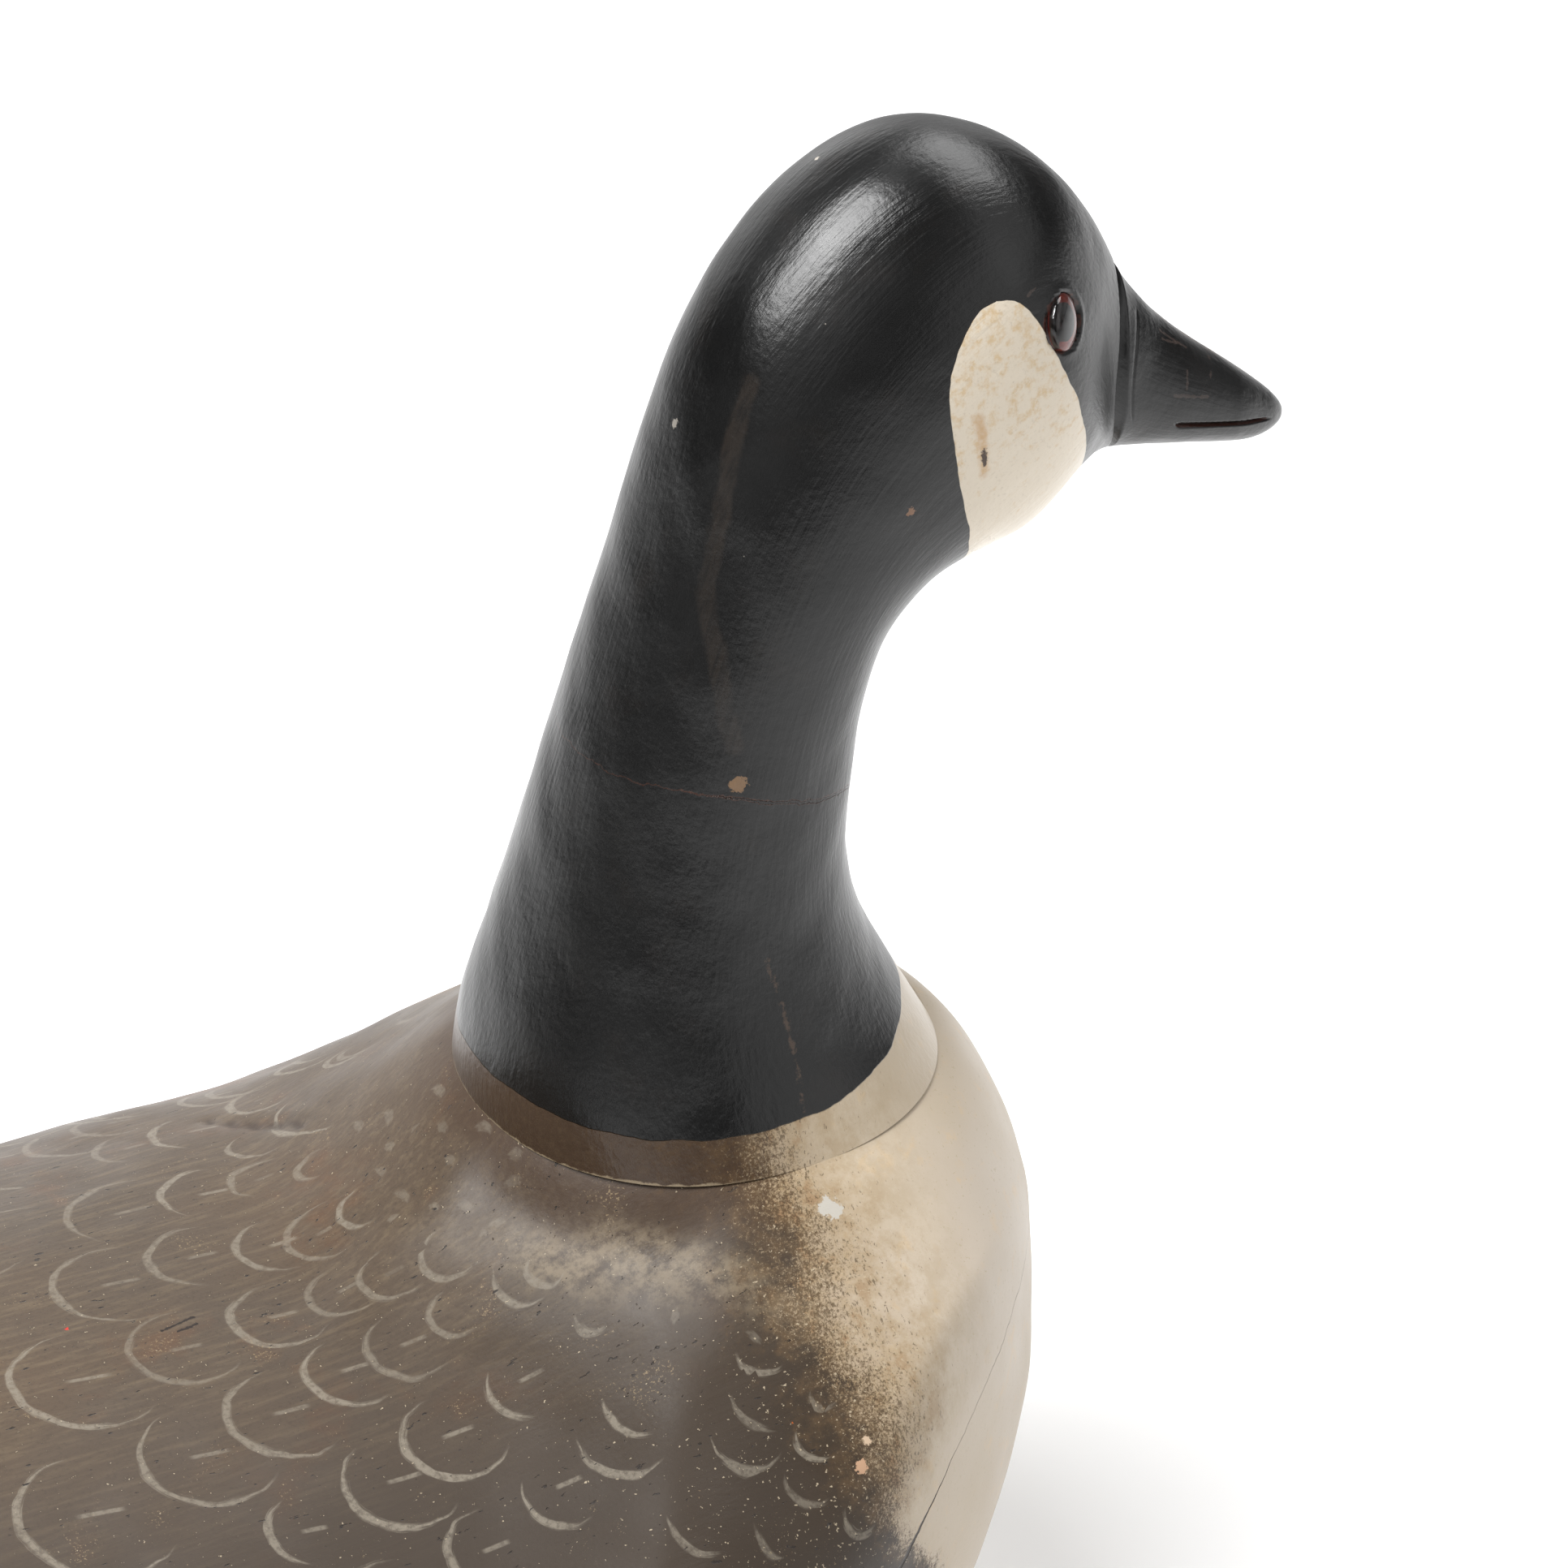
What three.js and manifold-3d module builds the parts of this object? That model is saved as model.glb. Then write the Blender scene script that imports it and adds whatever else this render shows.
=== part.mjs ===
// Carved and painted wooden goose decoy, in millimetres.
// +X is the way the bill points, +Y is the bird's left side, +Z is up. The flat underside lies on z = 0
// and the origin is below the middle of the whole length, from the tail's tip to the bill's tip.
import * as THREE from "three";
import { mergeVertices } from "three/addons/utils/BufferGeometryUtils.js";
import Module from "manifold-3d";

const wasm = await Module();
wasm.setup();

// Driving dimensions of the body, the seat, the neck, the bill and the eyes.
const SEAT_X = 207; // middle of the neck's seat, from the origin
const SEAT_Z = 150; // height of the seat above the underside
const SEAT_CENTRE = 1.4; // the seat's round outline is centred this far ahead of SEAT_X
const SEAT_RADIUS = 45.2;
const GAP = 0.3; // clearance between pieces that touch
const NECK_RISE = 179.3; // highest point of the head above the seat
const SAW_MARGIN = 30; // how far the sawing blocks reach past the wood they take off

const BREAST_X = 68; // foremost point of the breast, from the seat
const TAIL_X = -545.2; // end of the tail, from the seat
const BODY_HALF_WIDTH = 117.5;
const BREAST_LENGTH = 162; // over which the plan closes to the breast's point
const BREAST_HEIGHT_LENGTH = 47; // over which the height closes to it
const TAIL_END_LENGTH = 45;
const PLAN_POWER = 1.81;
const BREAST_TOP_POWER = 3.3;
const BREAST_BOTTOM_POWER = 1.9;
const TAIL_POWER = 2.4;
const BACK_POWER = 2; // section above the beam line
const BELLY_POWER = 2.3; // section below it

// Lines of the body, at distances from the seat: share of the half width, and the heights of the back,
// the beam and the belly over the underside. The belly lies below 0 where the underside is sawn flat.
const BODY_LINES = [
  [70, 0.93, 143.7, 89.6, -12],
  [20, 0.95, 141.7, 86.6, -12],
  [-30, 0.97, 130.5, 81.6, -12],
  [-100, 0.99, 127.8, 76.6, -12],
  [-200, 1.0, 134.4, 74.6, -12],
  [-300, 0.92, 126.4, 79.6, -9],
  [-400, 0.68, 104.4, 78.4, 20],
  [-480, 0.42, 87.4, 74.4, 47],
  [-545.2, 0.27, 77.4, 71.4, 64],
];
const BODY_RINGS = 52;
const BODY_SIDES = 46;
const SIDE_CROWDING = 0.2; // draws the section's points towards the back's ridge
const RING_POWER = 1.15;

// The body rises to the seat as a mound: its fall per mm beyond the seat's edge.
const MOUND_FALL = 0.86;
const MOUND_FRONT_FALL = 0.38;
const MOUND_FRONT_CURVE = 0.09;
const MOUND_BLEND = 13;
const MOUND_INSIDE = 8; // how far it stands above the seat before the seat is sawn
const MOUND_FADE = 8; // it dies away this far behind the breast's point
const MOUND_REACH = 0.45; // and from this share of the back's height down to the beam

// Head and neck, from the seat's middle: the back-and-crown line (x, z), the throat-and-chin line (x, z),
// half the width, and how far the section bows back at the sides.
const NECK_LINES = [
  [-43.8, 0, 46.6, 0, 45.2, 0], // seat
  [-41.9, 17.5, 38.9, 14.4, 38, 0], // collar
  [-32.4, 45.6, 29.6, 38.1, 31, 0],
  [-21.8, 76.6, 30.9, 64.7, 27.5, 0],
  [-9.8, 108.1, 36.6, 86.6, 27.5, 0],
  [1.2, 139.1, 51.2, 95.8, 28.5, 0], // nape and throat
  [19.5, 166.7, 67.1, 97.9, 29.5, 0.5],
  [50, 179.3, 76.9, 105.1, 28, 2], // crown and chin
  [77.4, 164, 84, 106.1, 19.8, 4.5], // brow
  [91.3, 141.9, 91.2, 105.1, 13, 5.5], // root of the bill
  [104.8, 125.8, 104.2, 101.9, 11, 4],
  [118.4, 114.5, 117.3, 98.5, 9, 2],
];
const TABLE_RISE = 179.3; // highest point of the table above
const NECK_SCALE = NECK_RISE / TABLE_RISE;
const NECK_POWER = 2.15;
const NECK_RINGS = 54;
const NECK_SIDES = 32;
const BILL_TIP = [131.2, 101.4 * NECK_SCALE];
const BILL_TIP_RINGS = 6;
const BILL_TIP_POWER = 1.5;
const BILL_ROOT = 9; // station of the carved groove between head and bill
const GROOVE_HALF = 0.11; // half its width, in stations
const GROOVE_DEPTH = 1.3;
const GROOVE_CLEAR = 0.13; // no other ring lies closer to it, in stations
const MOUTH_HEIGHT = 5.2; // the mouth's cut above the underside of the bill
const MOUTH_WIDTH = 1.0;
const MOUTH_DEPTH = 1.6;
const MOUTH_LENGTH = 17;
const MOUTH_BACK = 2; // its middle lies this far behind the last station

const EYE_STATION = 7.24;
const EYE_ANGLE = 261; // degrees round the section, from the throat
const EYE_RADIUS = 5.15;
const SOCKET_RADIUS = 5.5;
const SOCKET_DEPTH = 4.4;
const SOCKET_OUT = 6; // how far the socket's bore reaches out of the skin
const EYE_DOME = 1.7; // height of the glass dome
const EYE_RIM = -0.5; // height of the dome's rim over the skin
const EYE_SEGMENTS = 20;

// Natural cubic spline through rows of values at rising knots; gives the row at t.
function splineRows(knots, rows) {
  const n = knots.length;
  const width = rows[0].length;
  const bend = rows.map((row) => row.map(() => 0));
  for (let c = 0; c < width; c++) {
    const diagonal = new Array(n).fill(1);
    const right = new Array(n).fill(0);
    const upper = new Array(n).fill(0);
    for (let i = 1; i < n - 1; i++) {
      const before = knots[i] - knots[i - 1];
      const after = knots[i + 1] - knots[i];
      const slope = (rows[i + 1][c] - rows[i][c]) / after - (rows[i][c] - rows[i - 1][c]) / before;
      const factor = before / diagonal[i - 1];
      diagonal[i] = 2 * (before + after) - factor * upper[i - 1];
      right[i] = 6 * slope - factor * right[i - 1];
      upper[i] = after;
    }
    for (let i = n - 2; i > 0; i--) bend[i][c] = (right[i] - upper[i] * bend[i + 1][c]) / diagonal[i];
  }
  return (t) => {
    let i = 0;
    while (i < n - 2 && t > knots[i + 1]) i++;
    const h = knots[i + 1] - knots[i];
    const a = knots[i + 1] - t;
    const b = t - knots[i];
    return rows[i].map((value, c) => {
      const cubic = (bend[i][c] * a ** 3 + bend[i + 1][c] * b ** 3) / (6 * h);
      const low = (value / h - (bend[i][c] * h) / 6) * a;
      return cubic + low + (rows[i + 1][c] / h - (bend[i + 1][c] * h) / 6) * b;
    });
  };
}

function clamp01(v) {
  return Math.min(1, Math.max(0, v));
}

// Quarter of a superellipse: 1 at s = 0, 0 at s = 1.
function closing(s, power) {
  return (1 - clamp01(s) ** power) ** (1 / power);
}

function smoothStep(v) {
  return clamp01(v) ** 2 * (3 - 2 * clamp01(v));
}

function signedPower(v, power) {
  return Math.sign(v) * Math.abs(v) ** power;
}

// Closed skin over rings of equal length, with a single point at each end.
function skin(rings, first, last) {
  const sides = rings[0].length;
  const positions = rings.flat(2).concat(first, last);
  const start = rings.length * sides;
  const index = [];
  for (let j = 0; j < sides; j++) {
    const k = (j + 1) % sides;
    index.push(start, k, j, start + 1, start - sides + j, start - sides + k);
    for (let i = 0; i < rings.length - 1; i++) {
      const a = i * sides;
      index.push(a + j, a + k, a + sides + k, a + j, a + sides + k, a + sides + j);
    }
  }
  const geometry = new THREE.BufferGeometry();
  geometry.setAttribute("position", new THREE.Float32BufferAttribute(positions, 3));
  geometry.setIndex(index);
  return geometry;
}

function solidOf(geometry) {
  const bare = geometry.clone();
  bare.deleteAttribute("normal");
  bare.deleteAttribute("uv");
  const merged = mergeVertices(bare, 1e-4);
  return new wasm.Manifold(
    new wasm.Mesh({
      numProp: 3,
      vertProperties: new Float32Array(merged.attributes.position.array),
      triVerts: new Uint32Array(merged.index.array),
    }),
  );
}

function geometryOf(solid) {
  const mesh = solid.getMesh();
  const geometry = new THREE.BufferGeometry();
  geometry.setAttribute("position", new THREE.BufferAttribute(mesh.vertProperties, 3));
  geometry.setIndex(new THREE.BufferAttribute(mesh.triVerts, 1));
  return geometry;
}

function block(x0, x1, halfWidth, z0, z1) {
  const box = new THREE.BoxGeometry(x1 - x0, 2 * halfWidth, z1 - z0);
  box.translate((x0 + x1) / 2, 0, (z0 + z1) / 2);
  return solidOf(box);
}

// Height of the mound at a point of the plan, over the seat.
function mound(x, y) {
  const beyond = Math.hypot(x - SEAT_CENTRE, y) - SEAT_RADIUS;
  const ahead = clamp01(Math.cos(Math.atan2(y, x - SEAT_CENTRE))) ** 2;
  if (beyond < 0) return Math.min(MOUND_INSIDE, -beyond);
  const fall = MOUND_FALL + (MOUND_FRONT_FALL - MOUND_FALL) * ahead;
  return -fall * beyond - MOUND_FRONT_CURVE * ahead * beyond ** 2;
}

// Smooth greater of two heights.
function blendUp(a, b, reach) {
  const near = Math.max(reach - Math.abs(a - b), 0) / reach;
  return Math.max(a, b) + (near ** 2 * reach) / 4;
}

// Turns round the section with more steps near the back's ridge than under the belly.
function sectionAngle(j) {
  const turn = (2 * Math.PI * j) / BODY_SIDES;
  return turn - SIDE_CROWDING * Math.sin(turn);
}

function bodyRing(x, lines) {
  const [share, back, beam, belly] = lines;
  const tail = closing((TAIL_X + TAIL_END_LENGTH - x) / TAIL_END_LENGTH, TAIL_POWER);
  const plan = closing((x - BREAST_X + BREAST_LENGTH) / BREAST_LENGTH, PLAN_POWER) * tail;
  const rise = closing((x - BREAST_X + BREAST_HEIGHT_LENGTH) / BREAST_HEIGHT_LENGTH, BREAST_TOP_POWER);
  const drop = closing((x - BREAST_X + BREAST_LENGTH) / BREAST_LENGTH, BREAST_BOTTOM_POWER);
  const fade = clamp01((BREAST_X - x) / MOUND_FADE);
  const ring = [];
  for (let j = 0; j < BODY_SIDES; j++) {
    const c = Math.cos(sectionAngle(j));
    const s = Math.sin(sectionAngle(j));
    const power = 2 / (c > 0 ? BACK_POWER : BELLY_POWER);
    const y = share * BODY_HALF_WIDTH * plan * signedPower(s, power);
    let z = beam + signedPower(c, power) * tail * (c > 0 ? (back - beam) * rise : (beam - belly) * drop);
    const lift = fade * smoothStep(c / MOUND_REACH);
    z += lift * (blendUp(z - SEAT_Z, mound(x, y), MOUND_BLEND) + SEAT_Z - z);
    ring.push([SEAT_X + x, y, z]);
  }
  return ring;
}

function bodyGeometry() {
  const knots = BODY_LINES.map((row) => -row[0]);
  const lines = splineRows(knots, BODY_LINES.map((row) => row.slice(1)));
  const rings = [];
  for (let i = 1; i < BODY_RINGS; i++) {
    const share = (0.5 - 0.5 * Math.cos((Math.PI * i) / BODY_RINGS)) ** RING_POWER;
    const x = BREAST_X + (TAIL_X - BREAST_X) * share;
    rings.push(bodyRing(x, lines(-x)));
  }
  const breast = [SEAT_X + BREAST_X, 0, lines(-BREAST_X)[2]];
  const tail = [SEAT_X + TAIL_X, 0, lines(-TAIL_X)[2]];
  const reach = SEAT_RADIUS + SAW_MARGIN;
  const above = block(SEAT_X - reach, SEAT_X + reach, reach, SEAT_Z, SEAT_Z + SAW_MARGIN);
  const wide = BODY_HALF_WIDTH + SAW_MARGIN;
  const below = block(SEAT_X + TAIL_X, SEAT_X + BREAST_X + SAW_MARGIN, wide, -SAW_MARGIN, 0);
  return geometryOf(solidOf(skin(rings, breast, tail)).subtract(above).subtract(below));
}

// Head, neck and bill are one block, lofted from the seat to the tip of the bill.
const neckRows = NECK_LINES.map((row) => row.map((v, c) => (c === 1 || c === 3 ? v * NECK_SCALE : v)));
const neckLines = splineRows(neckRows.map((row, i) => i), neckRows);

// Point of the neck's skin at a station and an angle from the throat, shrunk towards the section's middle.
function neckPoint(lines, angle, shrink, inset) {
  const [backX, backZ, throatX, throatZ, half, bow] = lines;
  const c = signedPower(Math.cos(angle), 2 / NECK_POWER);
  const s = signedPower(Math.sin(angle), 2 / NECK_POWER);
  const depth = Math.hypot(throatX - backX, throatZ - backZ) / 2;
  const x = (backX + throatX) / 2 + ((throatX - backX) / 2) * c * shrink * (1 - inset / depth);
  const z = (backZ + throatZ) / 2 + ((throatZ - backZ) / 2) * c * shrink * (1 - inset / depth);
  return [SEAT_X + x - bow * Math.sin(angle) ** 2 * shrink, (half - inset) * s * shrink, SEAT_Z + GAP + z];
}

function neckRing(lines, shrink, inset) {
  const step = (2 * Math.PI) / NECK_SIDES;
  return Array.from({ length: NECK_SIDES }, (_, j) => neckPoint(lines, step * j, shrink, inset));
}

// Depth of the groove between head and bill at a station.
function groove(station) {
  return GROOVE_DEPTH * Math.max(0, 1 - Math.abs(station - BILL_ROOT) / GROOVE_HALF);
}

// Stations of the rings: even along the neck and head, with three across the groove.
function neckStations() {
  const last = NECK_LINES.length - 1;
  const stations = [];
  for (let i = 0; i <= NECK_RINGS; i++) stations.push((last * i) / NECK_RINGS);
  const clear = stations.filter((t) => Math.abs(t - BILL_ROOT) > GROOVE_CLEAR);
  return clear.concat([BILL_ROOT - GROOVE_HALF, BILL_ROOT, BILL_ROOT + GROOVE_HALF]).sort((a, b) => a - b);
}

function billTipRings() {
  const end = neckRows[neckRows.length - 1];
  const rings = [];
  for (let i = 1; i < BILL_TIP_RINGS; i++) {
    const s = Math.sin((Math.PI / 2) * (i / BILL_TIP_RINGS));
    const towards = [BILL_TIP[0] - (end[0] + end[2]) / 2, BILL_TIP[1] - (end[1] + end[3]) / 2];
    const lines = [end[0] + towards[0] * s, end[1] + towards[1] * s, end[2] + towards[0] * s,
      end[3] + towards[1] * s, end[4], end[5] * (1 - s)];
    rings.push(neckRing(lines, closing(s, BILL_TIP_POWER), 0));
  }
  return rings;
}

// The mouth's cut on one side of the bill: a thin wedge along the underside, ending at the tip.
function mouthCut(side) {
  const end = neckRows[neckRows.length - 1];
  const box = new THREE.BoxGeometry(MOUTH_LENGTH, 2 * MOUTH_DEPTH, MOUTH_WIDTH);
  const before = neckRows[neckRows.length - 2];
  box.rotateY(Math.atan2(before[3] - end[3], end[2] - before[2]));
  box.translate(SEAT_X + end[2] - MOUTH_BACK, side * end[4], SEAT_Z + GAP + end[3] + MOUTH_HEIGHT);
  return solidOf(box);
}

// Where an eye sits: the skin's point and its outward direction.
function eyeSeat(side) {
  const step = 0.02;
  const angle = (EYE_ANGLE * Math.PI) / 180;
  const at = (t, a) => new THREE.Vector3(...neckPoint(neckLines(t), a, 1, 0));
  const along = at(EYE_STATION + step, angle).sub(at(EYE_STATION - step, angle));
  const round = at(EYE_STATION, angle + step).sub(at(EYE_STATION, angle - step));
  const out = round.cross(along).normalize();
  const point = at(EYE_STATION, angle);
  if (out.y > 0) out.negate();
  const mirror = new THREE.Vector3(1, -side, 1);
  return { point: point.multiply(mirror), out: out.multiply(mirror) };
}

// A turned shape standing on the eye's axis, moved to the head's side.
function turnedOnEye(profile, side) {
  const { point, out } = eyeSeat(side);
  const points = profile.map(([radius, height]) => new THREE.Vector2(radius, height));
  const geometry = new THREE.LatheGeometry(points, EYE_SEGMENTS);
  geometry.applyQuaternion(new THREE.Quaternion().setFromUnitVectors(new THREE.Vector3(0, 1, 0), out));
  geometry.translate(point.x, point.y, point.z);
  return geometry;
}

function socket(side) {
  const wall = [[SOCKET_RADIUS, -SOCKET_DEPTH], [SOCKET_RADIUS, SOCKET_OUT]];
  return solidOf(turnedOnEye([[0, -SOCKET_DEPTH], ...wall, [0, SOCKET_OUT]], side));
}

function eyeGeometry(side) {
  const profile = [[0, GAP - SOCKET_DEPTH], [EYE_RADIUS, GAP - SOCKET_DEPTH]];
  const steps = 5;
  for (let i = 0; i <= steps; i++) {
    const turn = ((Math.PI / 2) * i) / steps;
    profile.push([i === steps ? 0 : EYE_RADIUS * Math.cos(turn), EYE_RIM + EYE_DOME * Math.sin(turn)]);
  }
  return geometryOf(solidOf(turnedOnEye(profile, side)));
}

function headAndNeckGeometry() {
  const rings = neckStations().map((t) => neckRing(neckLines(t), 1, groove(t))).concat(billTipRings());
  const seat = [SEAT_X + SEAT_CENTRE, 0, SEAT_Z + GAP];
  const tip = [SEAT_X + BILL_TIP[0], 0, SEAT_Z + GAP + BILL_TIP[1]];
  let solid = solidOf(skin(rings, seat, tip));
  for (const side of [-1, 1]) solid = solid.subtract(socket(side)).subtract(mouthCut(side));
  return geometryOf(solid);
}

function piece(name, geometry, colour, roughness) {
  const material = new THREE.MeshStandardMaterial({ color: colour, roughness, metalness: 0 });
  const mesh = new THREE.Mesh(geometry, material);
  mesh.name = name;
  return mesh;
}

const decoy = new THREE.Group();
decoy.add(piece("body", bodyGeometry(), "#6b5f54", 0.55));
decoy.add(piece("head_and_neck", headAndNeckGeometry(), "#1f1f20", 0.45));
decoy.add(piece("eye_right", eyeGeometry(-1), "#2a1512", 0.05));
decoy.add(piece("eye_left", eyeGeometry(1), "#2a1512", 0.05));

export default decoy;
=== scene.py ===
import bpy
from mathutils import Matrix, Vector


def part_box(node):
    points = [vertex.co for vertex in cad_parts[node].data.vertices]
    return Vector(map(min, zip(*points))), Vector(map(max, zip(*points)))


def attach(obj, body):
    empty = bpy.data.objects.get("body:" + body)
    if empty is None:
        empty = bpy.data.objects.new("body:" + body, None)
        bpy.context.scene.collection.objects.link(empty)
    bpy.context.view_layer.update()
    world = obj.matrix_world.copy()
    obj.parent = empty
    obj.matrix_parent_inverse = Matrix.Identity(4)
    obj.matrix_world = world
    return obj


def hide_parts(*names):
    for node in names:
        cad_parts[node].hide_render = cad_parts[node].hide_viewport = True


bl_info = {
    "name": "Goose decoy",
    "version": (1, 0, 0),
    "blender": (4, 5, 0),
    "location": "3D View > Sidebar > Decoy",
    "description": "Carved and painted goose decoy: body, head and neck, glass eyes, and the stage",
    "category": "Object",
}

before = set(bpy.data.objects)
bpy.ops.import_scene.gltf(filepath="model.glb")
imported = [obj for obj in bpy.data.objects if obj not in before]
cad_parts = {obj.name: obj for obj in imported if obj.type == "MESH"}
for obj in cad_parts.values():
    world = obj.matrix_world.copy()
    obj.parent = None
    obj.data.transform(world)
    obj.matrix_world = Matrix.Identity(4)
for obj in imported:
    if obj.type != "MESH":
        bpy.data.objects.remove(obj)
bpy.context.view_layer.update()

import bmesh
import bpy
import numpy as np
from bpy.props import FloatProperty, FloatVectorProperty, IntProperty, PointerProperty
from mathutils import Vector

# Lengths below are millimetres; MM turns them to Blender's metres.
MM = 0.001
BODY_LOW, BODY_HIGH = (np.array(corner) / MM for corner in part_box("body"))
NECK_LOW, NECK_HIGH = (np.array(corner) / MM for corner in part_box("head_and_neck"))

# The neck's seat, and the ends of the two blocks, all measured from the middle of the seat.
BILL_REACH = 131.2
SEAT = np.array([NECK_HIGH[0] - BILL_REACH, 0.0, BODY_HIGH[2]])
GAP = NECK_LOW[2] - SEAT[2]
BREAST_X = BODY_HIGH[0] - SEAT[0]
TAIL_X = BODY_LOW[0] - SEAT[0]
SEAT_CENTRE = 1.4
SEAT_RADIUS = 45.2

# Body: distances over which it closes, powers of its closing curves and of its sections.
BODY_HALF_WIDTH = 117.5
BREAST_LENGTH = 162
BREAST_HEIGHT_LENGTH = 47
TAIL_END_LENGTH = 45
PLAN_POWER = 1.81
BREAST_TOP_POWER = 3.3
BREAST_BOTTOM_POWER = 1.9
TAIL_POWER = 2.4
BACK_POWER = 2
BELLY_POWER = 2.3
RING_POWER = 1.15
MOUND_FALL = 0.86
MOUND_FRONT_FALL = 0.38
MOUND_FRONT_CURVE = 0.09
MOUND_BLEND = 13
MOUND_INSIDE = 8
MOUND_FADE = 8
MOUND_REACH = 0.45
# Flat that the knife left on the mound behind its right side: the way it faces, in degrees from the tail
# towards the right, half of its spread, the fade beside it, how deep it is cut at the seat, how steeply it
# falls, how straight it runs (1 is a plane, 0 follows the mound), where it starts and ends from the seat,
# and by how much the fall eases past its end.
FLAT_WAY = 36
FLAT_HALF = 20
FLAT_FADE = 20
FLAT_DEPTH = 5
FLAT_FALL = 0.71
FLAT_TURN = 0.8
FLAT_START = 9
FLAT_END = 18
TOE_RISE = 0.3
# Lines of the body: x from the seat, share of the half width, and heights of back, beam and belly. In
# front, these and most values of the breast and the mound above were fitted to the outline in the
# photograph by a scratch program, and rounded. The rear is a guess.
BODY_LINES = (
    (70, 0.93, 143.7, 89.6, -12),
    (20, 0.95, 141.7, 86.6, -12),
    (-30, 0.97, 130.5, 81.6, -12),
    (-100, 0.99, 127.8, 76.6, -12),
    (-200, 1.0, 134.4, 74.6, -12),
    (-300, 0.92, 126.4, 79.6, -9),
    (-400, 0.68, 104.4, 78.4, 20),
    (-480, 0.42, 87.4, 74.4, 47),
    (-545.2, 0.27, 77.4, 71.4, 64),
)

# Head and neck: back-and-crown line (x, z), throat-and-chin line (x, z), half width, bow. A scratch
# program fitted both lines to the outline in the photograph, and a few values were then corrected by
# hand.
NECK_LINES = (
    (-43.8, 0, 46.6, 0, 45.2, 0),
    (-41.9, 17.5, 38.9, 14.4, 38, 0),
    (-32.4, 45.6, 29.6, 38.1, 31, 0),
    (-21.8, 76.6, 30.9, 64.7, 27.5, 0),
    (-9.8, 108.1, 36.6, 86.6, 27.5, 0),
    (1.2, 139.1, 51.2, 95.8, 28.5, 0),
    (19.5, 166.7, 67.1, 97.9, 29.5, 0.5),
    (50, 179.3, 76.9, 105.1, 28, 2),
    (77.4, 164, 84, 106.1, 19.8, 4.5),
    (91.3, 141.9, 91.2, 105.1, 13, 5.5),
    (104.8, 125.8, 104.2, 101.9, 11, 4),
    (118.4, 114.5, 117.3, 98.5, 9, 2),
)
LAST_STATION = len(NECK_LINES) - 1
NECK_POWER = 2.15
BILL_TIP_HEIGHT = 100.6
BILL_TIP_FALL = -7.3  # how the tip's middle would drop if it kept the bill's slope
BILL_TIP_NARROWING = 0.45
BILL_TIP_POWER = 2.4
BILL_TIP_RINGS = 16
# Groove between head and bill: angle from the crown, stations of its edges at the head and at the bill.
GROOVE_EDGES = (
    (0, 8.77, 8.92),
    (39, 8.79, 9.0),
    (70, 8.86, 9.09),
    (111, 8.72, 9.07),
    (155, 8.63, 8.8),
    (180, 8.62, 8.76),
)
GROOVE_START = 8.78  # about the station of its edge at the head
GROOVE_DEPTH = 1.9
GROOVE_STEEP = 0.14  # share of the groove's width over which it drops from the head
SCORE_STATION = 9.22  # a fine knife line that follows the groove on the bill's side
SCORE_HALF = 0.03
SCORE_DEPTH = 0.22
SCORE_FROM, SCORE_TO = 30, 115
MOUTH_X = (99.6, 124.5)
MOUTH_START_HEIGHT = 110.7
MOUTH_FALL = 0.3
MOUTH_DEPTH = 1.3
MOUTH_HALF = 0.42
MOUTH_SIDE = 0.35  # width over which a side of the mouth drops
LIP_FREE = 1.5  # half width of the bill's tip, which the mouth leaves whole
JOINT_OPEN = (0.0, 0.08)  # least and greatest opening of the joint between neck and body
JOINT_FADE = 7
JOINT_SHUT_X = (-5, 7)  # the joint closes between these places, towards the front

EYE_STATION = 7.24
EYE_ANGLE = 261
MOUTH_ANGLE = 284
EYE_RADIUS = 5.15
SOCKET_RADIUS = 4.95
SOCKET_DEPTH = 3.2
SOCKET_WALL = 0.6
LIP_HEIGHT = 0.25
EYE_TURN = 14  # degrees by which the eyes look further ahead than the skin round them
EYE_DOME = 1.6
EYE_RIM = -0.35
EYE_BACK = -1.6
EYE_FLOOR = -3.9
EYE_REACH = 8  # height over and under the eye's seat that its socket and its rim take up
FAR = 99.0  # a distance in mm beyond all marks


def linear(colour):
    """Turns an sRGB hex colour such as #a0b0c0 to the linear values of a shader."""
    parts = [int(colour[i : i + 2], 16) / 255 for i in (1, 3, 5)]
    return tuple(c / 12.92 if c <= 0.04045 else ((c + 0.055) / 1.055) ** 2.4 for c in parts) + (1.0,)


def colour_property(name, description, colour):
    """A colour that the user may change, given as sRGB hex."""
    return FloatVectorProperty(
        name=name, description=description, subtype="COLOR", size=4, min=0, max=1, default=linear(colour)
    )


class BodySettings(bpy.types.PropertyGroup):
    rings: IntProperty(name="Rings", description="Sections along the body", default=330, min=60)
    sides: IntProperty(name="Sides", description="Points round a section", default=260, min=40)
    unevenness: FloatProperty(
        name="Unevenness", description="Height of the waves a spokeshave leaves, in mm", default=0.35, min=0
    )
    back: colour_property("Back", "Brown oil paint of the back", "#463b30")
    stroke: colour_property("Feather strokes", "Thin pale strokes that draw the feathers", "#787063")
    breast: colour_property("Breast", "Cream oil paint of the breast", "#b9ad9e")
    feather_step: FloatProperty(
        name="Feather step", description="Step between feathers next to the neck, in mm", default=7.5, min=3
    )


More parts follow.
